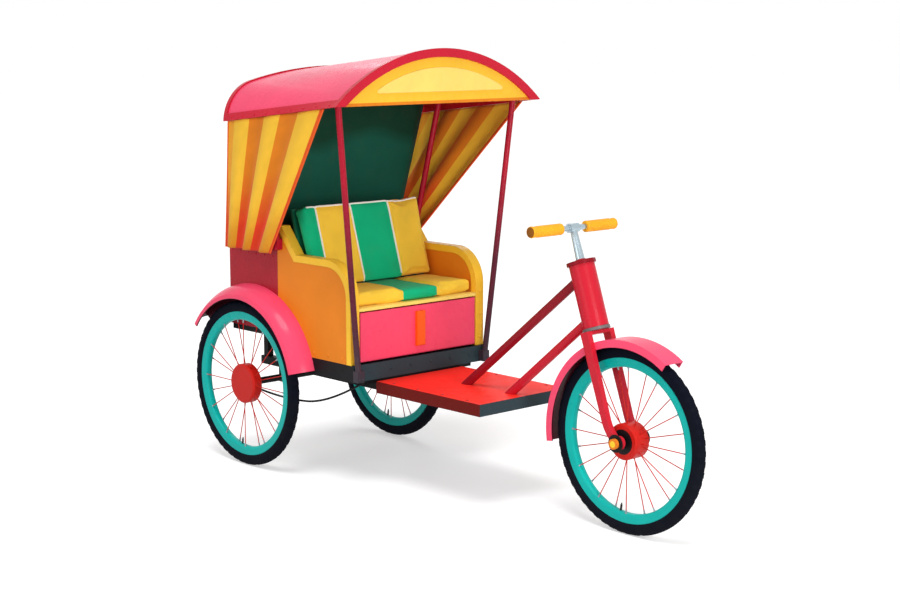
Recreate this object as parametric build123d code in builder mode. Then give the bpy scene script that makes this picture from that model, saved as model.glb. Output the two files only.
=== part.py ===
# Electric rickshaw: a three-wheeled passenger carrier with a canopy over a two-seat bench.
# X points forward, Y to the left, Z up. The ground is Z = 0 and the origin lies midway between the axles.
# Stations are distances ahead of the rear axle. All sizes are in millimetres.

import os
from math import acos, asin, atan2, cos, degrees, radians, sin, sqrt

from build123d import *

os.makedirs("parts", exist_ok=True)

# Wheels and axles
WHEELBASE = 1842.0
WHEEL_STANDOFF = 49.0
TYRE_RADIUS = 360.0
TYRE_WIDTH = 46.0
TYRE_CROWN = 20.0
RIM_RADIUS = 315.0
RIM_DEPTH = 37.0
RIM_WIDTH = 34.0
SPOKE_COUNT = 24
SPOKE_RADIUS = 2.0
SPOKE_DISH = 11.0
REAR_HUB_RADIUS = 86.0
REAR_HUB_HALF = 24.0
REAR_AXLE_RADIUS = 15.0
HUB_CAP = 8.0
HUB_EDGE = 6.0
AXLE_END_GAP = 1.0
FRONT_HUB_RADIUS = 70.0
FRONT_HUB_HALF = 38.0
FRONT_AXLE_RADIUS = 10.0
RUNNING_FIT = 0.05
SEATING = 0.3

# Brakes
BRAKE_PLATE_RADIUS = 60.0
BRAKE_PLATE_THICKNESS = 9.0
BRAKE_PLATE_GAP = 6.0
CABLE_RADIUS = 4.5
CABLE_BEND = 120.0
CABLE_START_DROP = 25.0
CABLE_LOW_STATION = 200.0
CABLE_LOW_INSET = 22.0
CABLE_LOW_HEIGHT = 312.0
CABLE_TURN_STATION = 430.0
CABLE_TURN_INSET = 74.0
CABLE_TURN_HEIGHT = 322.0
CABLE_END_STATION = 560.0

# Chassis
RAIL_OFFSET = 200.0
RAIL_WIDTH = 40.0
RAIL_HEIGHT = 36.0
RAIL_REAR = -160.0
AXLE_CLAMP_LENGTH = 60.0
AXLE_CLAMP_DROP = 24.0
BEARER_WIDTH = 40.0
BEARER_SIDE_INSET = 70.0
BEARER_INSET = 33.0
DECK_BEARER_WIDTH = 60.0
UPRIGHT_WIDTH = 30.0
BOX_RAIL_INSET = 25.0
BOX_RAIL_WIDTH = 26.0
BOX_RAIL_HEIGHT = 26.0
UPRIGHT_INSET = 45.0

# Foot deck
DECK_TOP = 442.0
DECK_SETBACK = 557.0
DECK_HALF_WIDTH = 242.0
DECK_DEPTH = 49.0
DECK_PLATE = 6.0
DECK_SKIRT = 8.0
DECK_LAP = 7.0

# Head tube, fork and handlebar
HEAD_SETBACK = 170.4
HEAD_BOTTOM_HEIGHT = 756.5
HEAD_RAKE = 18.96
HEAD_LENGTH = 270.0
HEAD_RADIUS = 50.0
HEADSET_LOWER = 12.0
HEADSET_LOWER_RADIUS = 53.0
HEADSET_UPPER = 14.0
HEADSET_UPPER_RADIUS = 57.0
STEERER_RADIUS = 20.0
STEERER_PROUD = 6.0
TUBE_RADIUS = 18.0
UPPER_TUBE_SHARE = 0.467
UPPER_TUBE_HEAD = 215.0
LOWER_TUBE_SHARE = 0.878
LOWER_TUBE_HEAD = 54.0
BLADE_INNER = 50.0
BLADE_THICKNESS = 24.0
BLADE_TOP_WIDTH = 38.0
BLADE_LOW_WIDTH = 28.0
BLADE_BEND = 150.0
DROPOUT_RADIUS = 26.0
CROWN_THICKNESS = 14.0
CROWN_GAP = 0.5
AXLE_WASHER_RADIUS = 34.0
AXLE_WASHER_THICKNESS = 5.0
AXLE_CAP_RADIUS = 20.0
AXLE_CAP_LENGTH = 14.0
BAR_HEIGHT = 400.0
BAR_RADIUS = 11.0
BAR_HALF = 224.0
STEM_FOOT_RADIUS = 17.0
STEM_TOP_RADIUS = 13.0
STEM_CLAMP_RADIUS = 18.0
STEM_CLAMP_HALF = 24.0
GRIP_RADIUS = 22.0
GRIP_START = 66.0
GRIP_END = 232.0

# Mudguards
FRONT_FENDER_RADIUS = 386.0
FENDER_SHEET = 4.0
FRONT_FENDER_LIP = 30.0
FRONT_FENDER_START = 57.0
FRONT_FENDER_SWEEP = 132.0
REAR_FENDER_OVERHANG = 45.0
REAR_FENDER_CROWN = 432.0
REAR_FENDER_EDGE = 390.0
REAR_FENDER_START = 14.5
REAR_FENDER_SWEEP = 130.0

# Seat box
BODY_HALF_WIDTH = 370.0
PLINTH_REAR = 200.0
PLINTH_FRONT = 671.0
PLINTH_BOTTOM = 452.6
PLINTH_HEIGHT = 69.8
WALL_REAR = 172.0
WALL_FRONT = 660.0
WALL_THICKNESS = 42.0
ARM_HEIGHT = 944.0
ARM_RADIUS = 150.0
ARM_REAR = 300.0
WING_RISE = 116.0
WING_LEAN = 0.83
TRIM_DEPTH = 30.0
TRIM_OVERHANG = 2.0
SEAT_BOARD_BOTTOM = 740.0
SEAT_BOARD_THICKNESS = 14.0
REAR_BOARD_THICKNESS = 14.0
CUSHION_FRONT = 645.0
CUSHION_THICKNESS = 54.0
BACKREST_THICKNESS = 85.0
BACKREST_TOP = 1155.0
BACKREST_LEAN = 0.317
BACKREST_FOOT = 405.0
BACK_BOARD_THICKNESS = 15.0
SOFT_GAP = 0.3
FLAP_THICKNESS = 16.0
FLAP_CLEARANCE = 5.6
FLAP_PIN_RADIUS = 4.0
FLAP_PIN_DEPTH = 24.0
HANDLE_WIDTH = 46.0
HANDLE_THICKNESS = 18.0
HANDLE_BOTTOM = 565.0
HANDLE_TOP = 712.0
HANDLE_EDGE = 6.0
BATTERY_LENGTH = 180.0
BATTERY_WIDTH = 320.0
BATTERY_HEIGHT = 160.0
BATTERY_STATION = 300.0

# Rear box
BOX_REAR = -175.0
BOX_BOTTOM = 600.0
BOX_TOP = 953.0
BOX_WALL = 12.0

# Canopy
CANOPY_REAR = 67.0
CANOPY_FRONT = 811.0
CANOPY_HALF_WIDTH = 562.0
CANOPY_EAVE_REAR = 1500.0
CANOPY_EAVE_FRONT = 1583.0
CANOPY_RISE = 221.5
REAR_ARCH_CROWN = 1700.0
REAR_ARCH_SHOULDER = 180.0
ROOF_THICKNESS = 14.0
TRIM_THICKNESS = 6.0
EAVE_BAND = 30.0
ARCH_BAND = 35.0
ARCH_LENGTH = 24.0
GABLE_THICKNESS = 10.0
GABLE_SETBACK = 10.0
LENS_HALF_WIDTH = 366.0
LENS_FOOT = 48.0
LENS_CREST = 146.0
LENS_PROUD = 4.0
LENS_CORNER = 8.0
ROOF_RAIL_INSET = 82.0
ROOF_RAIL_SIZE = 26.0
BACK_PANEL_THICKNESS = 4.0
BACK_PANEL_FOOT_INSET = 10.0
BACK_PANEL_EAVE_INSET = 27.0
BACK_PANEL_HEAD_GAP = 1.0
FRONT_POLE_RADIUS = 12.5
REAR_POLE_RADIUS = 13.0
FRONT_POLE_FOOT_RISE = 3.4
FRONT_POLE_TOP_STATION = 726.0
REAR_POLE_FOOT_AHEAD = 18.0
REAR_POLE_FOOT_RISE = 16.0
REAR_POLE_TOP_STATION = 262.0
SHOE_BREADTH = 36.0
SHOE_HEIGHT = 46.0
SHOE_DEPTH = 30.0

# Curtains
CURTAIN_PLEATS = 3
CURTAIN_SHEET = 4.0
CURTAIN_TOP_REAR = 78.0
CURTAIN_TOP_FRONT = 715.0
CURTAIN_TOP_INSET = 16.0
CURTAIN_TOP_FOLD = 12.0
CURTAIN_FOOT_REAR = -158.0
CURTAIN_FOOT_FRONT = 165.0
CURTAIN_FOOT_STANDOFF = 36.0
CURTAIN_FOOT_FOLD = 10.0
CURTAIN_FOOT_LAP = 11.0


def station(distance):
    return distance - WHEELBASE / 2


SIDES = (("right", -1), ("left", 1))

# Derived places
track = 2 * (BODY_HALF_WIDTH + WHEEL_STANDOFF)
deck_rear = PLINTH_FRONT - DECK_LAP
deck_front = WHEELBASE - DECK_SETBACK
upper_landing = deck_rear + UPPER_TUBE_SHARE * (deck_front - deck_rear)
lower_landing = deck_rear + LOWER_TUBE_SHARE * (deck_front - deck_rear)
rail_top = DECK_TOP - DECK_PLATE
rail_middle = rail_top - RAIL_HEIGHT / 2
rail_bottom = rail_top - RAIL_HEIGHT
plinth_top = PLINTH_BOTTOM + PLINTH_HEIGHT
wall_inner = BODY_HALF_WIDTH - WALL_THICKNESS
seat_top = SEAT_BOARD_BOTTOM + SEAT_BOARD_THICKNESS
cushion_top = seat_top + CUSHION_THICKNESS
box_front = WALL_REAR - SEATING
rim_inner = RIM_RADIUS - RIM_DEPTH
canopy_slope = (CANOPY_EAVE_FRONT - CANOPY_EAVE_REAR) / (CANOPY_FRONT - CANOPY_REAR)
roof_depth = TRIM_THICKNESS + ROOF_THICKNESS


def eave_height(distance):
    return CANOPY_EAVE_REAR + (distance - CANOPY_REAR) * canopy_slope


# Three wheels: tyre, rim and spoked hub each
WHEELS = (
    # name, station, offset to the left, hub radius, hub half width, axle radius, closed cap
    ("right", 0.0, -track / 2, REAR_HUB_RADIUS, REAR_HUB_HALF, REAR_AXLE_RADIUS, HUB_CAP),
    ("left", 0.0, track / 2, REAR_HUB_RADIUS, REAR_HUB_HALF, REAR_AXLE_RADIUS, HUB_CAP),
    ("front", WHEELBASE, 0.0, FRONT_HUB_RADIUS, FRONT_HUB_HALF, FRONT_AXLE_RADIUS, 0.0),
)

for name, ahead, across, hub_radius, hub_half, axle_radius, cap in WHEELS:
    wheel_centre = (station(ahead), across, TYRE_RADIUS)
    wheel_section = Plane(origin=wheel_centre, x_dir=(0, 1, 0), z_dir=(1, 0, 0))
    wheel_axis = Axis(wheel_centre, (0, 1, 0))
    inward = -1 if across > 0 else 1

    with BuildPart() as tyre:
        with BuildSketch(wheel_section) as tyre_section:
            with Locations((0, RIM_RADIUS)):
                Rectangle(TYRE_WIDTH, TYRE_RADIUS - RIM_RADIUS, align=(Align.CENTER, Align.MIN))
            fillet(tyre_section.vertices().sort_by(Axis.Y)[-2:], radius=TYRE_CROWN)
        revolve(axis=wheel_axis)
    tyre.part.label = name + " tyre"
    export_step(tyre.part, "parts/" + name + "_tyre.step")

    with BuildPart() as rim:
        with BuildSketch(wheel_section):
            with Locations((0, rim_inner)):
                Rectangle(RIM_WIDTH, RIM_DEPTH, align=(Align.CENTER, Align.MIN))
        revolve(axis=wheel_axis)
    rim.part.label = name + " rim"
    export_step(rim.part, "parts/" + name + "_rim.step")

    with BuildPart() as hub:
        with BuildSketch(wheel_section) as hub_section:
            Rectangle(2 * hub_half, hub_radius, align=(Align.CENTER, Align.MIN))
            chamfer(hub_section.vertices().sort_by(Axis.Y)[-2:], length=HUB_EDGE)
        revolve(axis=wheel_axis)
        for index in range(SPOKE_COUNT):
            lean = Location((0, 0, 0), (0, 360 * index / SPOKE_COUNT, 0))
            dish = SPOKE_DISH if index % 2 else -SPOKE_DISH
            reach = Location((0, dish, (hub_radius + rim_inner) / 2 - HUB_CAP / 2))
            with Locations(Location(wheel_centre) * lean * reach):
                Cylinder(SPOKE_RADIUS, rim_inner - hub_radius + HUB_CAP - 2 * SEATING)
        with BuildSketch(wheel_section):
            with Locations((inward * cap / 2, 0)):
                Rectangle(2 * hub_half - cap, axle_radius + RUNNING_FIT, align=(Align.CENTER, Align.MIN))
        revolve(axis=wheel_axis, mode=Mode.SUBTRACT)
    hub.part.label = name + " hub and spokes"
    export_step(hub.part, "parts/" + name + "_hub.step")

# Rear axle bar with the fixed brake plates behind the rear hubs
plate_outer = track / 2 - REAR_HUB_HALF - BRAKE_PLATE_GAP
plate_middle = plate_outer - BRAKE_PLATE_THICKNESS / 2
with BuildPart() as rear_axle:
    with Locations(Location((station(0), 0, TYRE_RADIUS), (90, 0, 0))):
        Cylinder(REAR_AXLE_RADIUS, track + 2 * (REAR_HUB_HALF - HUB_CAP - AXLE_END_GAP))
    for side, sign in SIDES:
        with Locations(Location((station(0), sign * plate_middle, TYRE_RADIUS), (90, 0, 0))):
            Cylinder(BRAKE_PLATE_RADIUS, BRAKE_PLATE_THICKNESS)
rear_axle.part.label = "rear axle and brake plates"
export_step(rear_axle.part, "parts/rear_axle.step")

# Brake cables: from each plate down, forward and inward to the chassis rail
CABLE_ROUTE = (
    # station, offset from the centre plane, height
    (BRAKE_PLATE_RADIUS + SEATING, plate_middle, TYRE_RADIUS - CABLE_START_DROP),
    (CABLE_LOW_STATION, plate_middle - CABLE_LOW_INSET, CABLE_LOW_HEIGHT),
    (CABLE_TURN_STATION, plate_middle - CABLE_TURN_INSET, CABLE_TURN_HEIGHT),
    (CABLE_END_STATION, RAIL_OFFSET + RAIL_WIDTH / 2 + CABLE_RADIUS, rail_middle),
)
with BuildPart() as brake_cables:
    for side, sign in SIDES:
        with BuildLine() as route:
            FilletPolyline(
                *[(station(ahead), sign * across, height) for ahead, across, height in CABLE_ROUTE],
                radius=CABLE_BEND,
            )
        with BuildSketch(Plane(origin=route.line @ 0, z_dir=route.line % 0)):
            Circle(CABLE_RADIUS)
        sweep(path=route.line)
brake_cables.part.label = "brake cables"
export_step(brake_cables.part, "parts/brake_cables.step")

# Chassis rails with the blocks that clamp the rear axle, and the cross bearers
rail_front = deck_front - 2 * DECK_SKIRT
clamp_bottom = TYRE_RADIUS - AXLE_CLAMP_DROP
with BuildPart() as chassis_rails:
    for side, sign in SIDES:
        with Locations((station((RAIL_REAR + rail_front) / 2), sign * RAIL_OFFSET, rail_middle)):
            Box(rail_front - RAIL_REAR, RAIL_WIDTH, RAIL_HEIGHT)
        with Locations((station(0), sign * RAIL_OFFSET, (rail_bottom + clamp_bottom) / 2)):
            Box(AXLE_CLAMP_LENGTH, RAIL_WIDTH, rail_bottom - clamp_bottom)
        with Locations(Location((station(0), sign * RAIL_OFFSET, TYRE_RADIUS), (90, 0, 0))):
            Cylinder(REAR_AXLE_RADIUS, RAIL_WIDTH, mode=Mode.SUBTRACT)
chassis_rails.part.label = "chassis rails"
export_step(chassis_rails.part, "parts/chassis_rails.step")

bearer_stations = (PLINTH_REAR + BEARER_INSET, (PLINTH_REAR + PLINTH_FRONT) / 2, PLINTH_FRONT - BEARER_INSET)
with BuildPart() as cross_bearers:
    for ahead in bearer_stations:
        with Locations((station(ahead), 0, (rail_top + PLINTH_BOTTOM) / 2)):
            Box(BEARER_WIDTH, 2 * (BODY_HALF_WIDTH - BEARER_SIDE_INSET), PLINTH_BOTTOM - rail_top)
    for ahead in (upper_landing, lower_landing):
        with Locations((station(ahead), 0, rail_middle)):
            Box(DECK_BEARER_WIDTH, 2 * RAIL_OFFSET - RAIL_WIDTH, RAIL_HEIGHT)
cross_bearers.part.label = "cross bearers"
export_step(cross_bearers.part, "parts/cross_bearers.step")

# Frame that lifts the rear box off the chassis rails: side rails, cross rails and uprights
box_rail_offset = BODY_HALF_WIDTH - BOX_RAIL_INSET
box_rail_bottom = BOX_BOTTOM - BOX_RAIL_HEIGHT
box_rail_middle = BOX_BOTTOM - BOX_RAIL_HEIGHT / 2
box_middle = station((BOX_REAR + box_front) / 2)
cross_rail_length = 2 * box_rail_offset - BOX_RAIL_WIDTH - 2 * SEATING
upright_top = box_rail_bottom - SEATING
upright_stations = (BOX_REAR + UPRIGHT_INSET, box_front - UPRIGHT_INSET)
with BuildPart() as box_frame:
    for side, sign in SIDES:
        with Locations((box_middle, sign * box_rail_offset, box_rail_middle)):
            Box(box_front - BOX_REAR, BOX_RAIL_WIDTH, BOX_RAIL_HEIGHT)
        for ahead in upright_stations:
            with Locations((station(ahead), sign * RAIL_OFFSET, (rail_top + upright_top) / 2)):
                Box(UPRIGHT_WIDTH, UPRIGHT_WIDTH, upright_top - rail_top)
    for ahead in upright_stations:
        with Locations((station(ahead), 0, box_rail_middle)):
            Box(UPRIGHT_WIDTH, cross_rail_length, BOX_RAIL_HEIGHT)
box_frame.part.label = "rear box frame"
export_step(box_frame.part, "parts/box_frame.step")

# Foot deck: a folded tray, open at the rear and below
deck_middle = station((deck_rear + deck_front) / 2)
with BuildPart() as deck:
    with Locations((deck_middle, 0, DECK_TOP - DECK_PLATE / 2)):
        Box(deck_front - deck_rear, 2 * DECK_HALF_WIDTH, DECK_PLATE)
    for side, sign in SIDES:
        with Locations((deck_middle, sign * (DECK_HALF_WIDTH - DECK_SKIRT / 2), DECK_TOP - DECK_DEPTH / 2)):
            Box(deck_front - deck_rear, DECK_SKIRT, DECK_DEPTH)
    with Locations((station(deck_front - DECK_SKIRT / 2), 0, DECK_TOP - DECK_DEPTH / 2)):
        Box(DECK_SKIRT, 2 * DECK_HALF_WIDTH, DECK_DEPTH)
deck.part.label = "foot deck"
export_step(deck.part, "parts/deck.step")

# Steering axis frame: local X forward, local Y up along the raked head tube
rake_cos = cos(radians(HEAD_RAKE))
rake_sin = sin(radians(HEAD_RAKE))
head_foot = Vector(station(WHEELBASE - HEAD_SETBACK), 0, HEAD_BOTTOM_HEIGHT)
axis_up = Vector(-rake_sin, 0, rake_cos)
axis_forward = Vector(rake_cos, 0, rake_sin)
head_side = Plane(origin=head_foot, x_dir=axis_forward, z_dir=(0, -1, 0))
head_axial = Plane(origin=head_foot, x_dir=axis_forward, z_dir=axis_up)
front_axle_drop = Vector(station(WHEELBASE), 0, TYRE_RADIUS) - head_foot
axle_forward = front_axle_drop.dot(axis_forward)
axle_along = front_axle_drop.dot(axis_up)

# Head tube with its bearing rings
with BuildPart() as head_tube:
    with BuildSketch(head_axial.offset(HEADSET_LOWER)):
        Circle(HEAD_RADIUS)
        Circle(STEERER_RADIUS + RUNNING_FIT, mode=Mode.SUBTRACT)
    extrude(amount=HEAD_LENGTH - HEADSET_LOWER - HEADSET_UPPER)
head_tube.part.label = "head tube"
export_step(head_tube.part, "parts/head_tube.step")

HEADSET = (
    # height along the head tube, radius, thickness
    (0.0, HEADSET_LOWER_RADIUS, HEADSET_LOWER),
    (HEAD_LENGTH - HEADSET_UPPER, HEADSET_UPPER_RADIUS, HEADSET_UPPER),
)
with BuildPart() as headset:
    for along, radius, thickness in HEADSET:
        with BuildSketch(head_axial.offset(along)):
            Circle(radius)
            Circle(STEERER_RADIUS + RUNNING_FIT, mode=Mode.SUBTRACT)
        extrude(amount=thickness)
headset.part.label = "headset rings"
export_step(headset.part, "parts/headset.step")

# Two frame tubes from the deck to the head tube, mitred at both ends
FRAME_TUBES = (
    # node, landing on the deck, height along the head tube
    ("upper_tube", upper_landing, UPPER_TUBE_HEAD),
    ("lower_tube", lower_landing, LOWER_TUBE_HEAD),
)
for node, landing, along in FRAME_TUBES:
    tube_foot = Vector(station(landing), 0, DECK_TOP)
    tube_run = head_foot + axis_up * along - tube_foot
    with BuildPart() as frame_tube:
        with BuildSketch(Plane(origin=tube_foot - tube_run.normalized() * 2 * TUBE_RADIUS, z_dir=tube_run)):
            Circle(TUBE_RADIUS)
        extrude(amount=tube_run.length + 2 * TUBE_RADIUS)
        with BuildSketch(head_axial.offset(-HEAD_RADIUS)):
            Circle(HEAD_RADIUS)
        extrude(amount=HEAD_LENGTH + HEAD_RADIUS, mode=Mode.SUBTRACT)
        split(bisect_by=Plane.XY.offset(DECK_TOP), keep=Keep.TOP)
    frame_tube.part.label = node.replace("_", " ")
    export_step(frame_tube.part, "parts/" + node + ".step")

# Fork: steerer, crown plate and two blades that bend forward to the axle
bend_angle = acos(1 - axle_forward / BLADE_BEND)
bend_start = axle_along + BLADE_BEND * sin(bend_angle)
blade_rear_radius = BLADE_BEND + BLADE_LOW_WIDTH / 2
blade_front_radius = BLADE_BEND - BLADE_LOW_WIDTH / 2
bend_end = degrees(bend_angle)
with BuildPart() as fork:
    for side, sign in SIDES:
        blade_face = max(sign * BLADE_INNER, sign * (BLADE_INNER + BLADE_THICKNESS))
        with BuildSketch(head_side.offset(-blade_face)):
            with BuildLine():
                rear_arc = CenterArc((BLADE_BEND, bend_start), blade_rear_radius, 180, bend_end)
                front_arc = CenterArc((BLADE_BEND, bend_start), blade_front_radius, 180, bend_end)
                Polyline(
                    rear_arc @ 0,
                    (-BLADE_TOP_WIDTH / 2, -CROWN_GAP),
                    (BLADE_TOP_WIDTH / 2, -CROWN_GAP),
                    front_arc @ 0,
                )
                Line(rear_arc @ 1, front_arc @ 1)
            make_face()
            with Locations((axle_forward, axle_along)):
                Circle(DROPOUT_RADIUS)
                Circle(FRONT_AXLE_RADIUS, mode=Mode.SUBTRACT)
        extrude(amount=BLADE_THICKNESS)
    with BuildSketch(head_axial.offset(-CROWN_GAP)):
        Rectangle(BLADE_TOP_WIDTH, 2 * BLADE_INNER)
    extrude(amount=-CROWN_THICKNESS)
    with BuildSketch(head_axial.offset(-CROWN_GAP - CROWN_THICKNESS)):
        Circle(STEERER_RADIUS)
    extrude(amount=HEAD_LENGTH + STEERER_PROUD + CROWN_GAP + CROWN_THICKNESS)
fork.part.label = "fork"
export_step(fork.part, "parts/fork.step")

# Front axle with a washer and a cap on each end
AXLE_END = (
    # distance from the fork blade, radius, length
    (0.0, AXLE_WASHER_RADIUS, AXLE_WASHER_THICKNESS),
    (AXLE_WASHER_THICKNESS, AXLE_CAP_RADIUS, AXLE_CAP_LENGTH),
)
blade_outer = BLADE_INNER + BLADE_THICKNESS
with BuildPart() as front_axle:
    with Locations(Location((station(WHEELBASE), 0, TYRE_RADIUS), (90, 0, 0))):
        Cylinder(FRONT_AXLE_RADIUS, 2 * blade_outer)
    for side, sign in SIDES:
        for away, radius, length in AXLE_END:
            disc_middle = sign * (blade_outer + away + length / 2)
            with Locations(Location((station(WHEELBASE), disc_middle, TYRE_RADIUS), (90, 0, 0))):
                Cylinder(radius, length)
front_axle.part.label = "front axle"
export_step(front_axle.part, "parts/front_axle.step")

# Handlebar with its stem, and the grips
stem_foot = HEAD_LENGTH + STEERER_PROUD
BAR_RODS = (
    # radius, half length across
    (STEM_CLAMP_RADIUS, STEM_CLAMP_HALF),
    (BAR_RADIUS, BAR_HALF),
)
with BuildPart() as handlebar:
    with BuildSketch(head_axial.offset(stem_foot)):
        Circle(STEM_FOOT_RADIUS)
    with BuildSketch(head_axial.offset(BAR_HEIGHT)):
        Circle(STEM_TOP_RADIUS)
    loft()
    for radius, half in BAR_RODS:
        with BuildSketch(head_side.offset(-half)):
            with Locations((0, BAR_HEIGHT)):
                Circle(radius)
        extrude(amount=2 * half)
handlebar.part.label = "handlebar and stem"
export_step(handlebar.part, "parts/handlebar.step")

with BuildPart() as grips:
    for side, sign in SIDES:
        grip_face = max(sign * GRIP_START, sign * GRIP_END)
        bore_face = max(sign * GRIP_START, sign * BAR_HALF)
        with BuildSketch(head_side.offset(-grip_face)):
            with Locations((0, BAR_HEIGHT)):
                Circle(GRIP_RADIUS)
        extrude(amount=GRIP_END - GRIP_START)
        with BuildSketch(head_side.offset(-bore_face)):
            with Locations((0, BAR_HEIGHT)):
                Circle(BAR_RADIUS)
        extrude(amount=BAR_HALF - GRIP_START, mode=Mode.SUBTRACT)
grips.part.label = "grips"
export_step(grips.part, "parts/grips.step")

# Front mudguard: a channel between the fork blades
front_centre = (station(WHEELBASE), 0, TYRE_RADIUS)
fender_start = radians(FRONT_FENDER_START)
front_fender_plane = Plane(
    origin=front_centre, x_dir=(0, 1, 0), z_dir=(sin(fender_start), 0, -cos(fender_start))
)
with BuildPart() as front_fender:
    with BuildSketch(front_fender_plane):
        with Locations((0, FRONT_FENDER_RADIUS)):
            Rectangle(2 * BLADE_INNER, FRONT_FENDER_LIP, align=(Align.CENTER, Align.MAX))
        with Locations((0, FRONT_FENDER_RADIUS - FENDER_SHEET)):
            Rectangle(
                2 * (BLADE_INNER - FENDER_SHEET),
                FRONT_FENDER_LIP,
                align=(Align.CENTER, Align.MAX),
                mode=Mode.SUBTRACT,
            )
    revolve(axis=Axis(front_centre, (0, -1, 0)), revolution_arc=FRONT_FENDER_SWEEP)
front_fender.part.label = "front mudguard"
export_step(front_fender.part, "parts/front_fender.step")

# Rear mudguards against the body sides: a crowned sheet that falls off to its outer edge
fender_inner = BODY_HALF_WIDTH + SEATING
fender_width = track / 2 + REAR_FENDER_OVERHANG - fender_inner
fender_fall = REAR_FENDER_CROWN - REAR_FENDER_EDGE
fender_bend = (fender_width**2 + fender_fall**2) / (2 * fender_fall)
fender_turn = degrees(asin(fender_width / fender_bend))
rear_start = radians(REAR_FENDER_START)
rear_centre = (station(0), 0, TYRE_RADIUS)
rear_fender_plane = Plane(origin=rear_centre, x_dir=(0, 1, 0), z_dir=(sin(rear_start), 0, -cos(rear_start)))
with BuildPart() as rear_fenders:
    with BuildSketch(rear_fender_plane):
        for side, sign in SIDES:
            bend_centre = (sign * fender_inner, REAR_FENDER_CROWN - fender_bend)
            with BuildLine():
                fender_top = CenterArc(bend_centre, fender_bend, 90, -sign * fender_turn)
                fender_under = CenterArc(bend_centre, fender_bend - FENDER_SHEET, 90, -sign * fender_turn)
                Line(fender_top @ 0, fender_under @ 0)
                Line(fender_top @ 1, fender_under @ 1)
            make_face()
    revolve(axis=Axis(rear_centre, (0, -1, 0)), revolution_arc=REAR_FENDER_SWEEP)
rear_fenders.part.label = "rear mudguards"
export_step(rear_fenders.part, "parts/rear_fenders.step")

# Seat base plinth
with BuildPart() as plinth:
    with Locations((station((PLINTH_REAR + PLINTH_FRONT) / 2), 0, PLINTH_BOTTOM + PLINTH_HEIGHT / 2)):
        Box(PLINTH_FRONT - PLINTH_REAR, 2 * BODY_HALF_WIDTH, PLINTH_HEIGHT)
plinth.part.label = "seat plinth"
export_step(plinth.part, "parts/plinth.step")

# Side walls with an arm curve and a rear wing, and the trim along their edges
trim_lean = sqrt(1 + WING_LEAN**2) - WING_LEAN
wing_top = ARM_HEIGHT + WING_RISE
wing_core_top = wing_top - TRIM_DEPTH
arm_core_height = ARM_HEIGHT - TRIM_DEPTH
arm_core_rear = ARM_REAR - TRIM_DEPTH * trim_lean
wing_front = ARM_REAR - WING_LEAN * WING_RISE
wing_core_front = arm_core_rear - WING_LEAN * (wing_core_top - arm_core_height)
arm_centre = (station(WALL_FRONT - ARM_RADIUS), ARM_HEIGHT - ARM_RADIUS)
with BuildPart() as side_walls:
    for side, sign in SIDES:
        wall_face = max(sign * wall_inner, sign * BODY_HALF_WIDTH)
        with BuildSketch(Plane.XZ.offset(-wall_face)):
            with BuildLine():
                arm_arc = CenterArc(arm_centre, ARM_RADIUS - TRIM_DEPTH, 0, 90)
                Polyline(
                    arm_arc @ 1,
                    (station(arm_core_rear), arm_core_height),
                    (station(wing_core_front), wing_core_top),
                    (station(WALL_REAR), wing_core_top),
                    (station(WALL_REAR), plinth_top),
                    (station(WALL_FRONT - TRIM_DEPTH), plinth_top),
                    arm_arc @ 0,
                )
            make_face()
        extrude(amount=WALL_THICKNESS)
side_walls.part.label = "side walls"
export_step(side_walls.part, "parts/side_walls.step")

with BuildPart() as side_trims:
    for side, sign in SIDES:
        trim_face = max(sign * (wall_inner - TRIM_OVERHANG), sign * (BODY_HALF_WIDTH + TRIM_OVERHANG))
        with BuildSketch(Plane.XZ.offset(-trim_face)):
            with BuildLine():
                outer_arc = CenterArc(arm_centre, ARM_RADIUS, 0, 90)
                inner_arc = CenterArc(arm_centre, ARM_RADIUS - TRIM_DEPTH, 0, 90)
                Polyline(
                    outer_arc @ 1,
                    (station(ARM_REAR), ARM_HEIGHT),
                    (station(wing_front), wing_top),
                    (station(WALL_REAR), wing_top),
                    (station(WALL_REAR), wing_core_top),
                    (station(wing_core_front), wing_core_top),
                    (station(arm_core_rear), arm_core_height),
                    inner_arc @ 1,
                )
                Polyline(
                    inner_arc @ 0,
                    (station(WALL_FRONT - TRIM_DEPTH), plinth_top),
                    (station(WALL_FRONT), plinth_top),
                    outer_arc @ 0,
                )
            make_face()
        extrude(amount=WALL_THICKNESS + 2 * TRIM_OVERHANG)
side_trims.part.label = "side wall trims"
export_step(side_trims.part, "parts/side_trims.step")

# Seat board on its rear board, and the leaning back board
trim_inner = wall_inner - TRIM_OVERHANG
with BuildPart() as seat_board:
    with Locations((station((WALL_REAR + WALL_FRONT) / 2), 0, SEAT_BOARD_BOTTOM + SEAT_BOARD_THICKNESS / 2)):
        Box(WALL_FRONT - WALL_REAR, 2 * (trim_inner - SOFT_GAP), SEAT_BOARD_THICKNESS)
    with Locations((station(WALL_REAR + REAR_BOARD_THICKNESS / 2), 0, (plinth_top + SEAT_BOARD_BOTTOM) / 2)):
        Box(REAR_BOARD_THICKNESS, 2 * wall_inner, SEAT_BOARD_BOTTOM - plinth_top)
seat_board.part.label = "seat board and rear board"
export_step(seat_board.part, "parts/seat_board.step")

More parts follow.
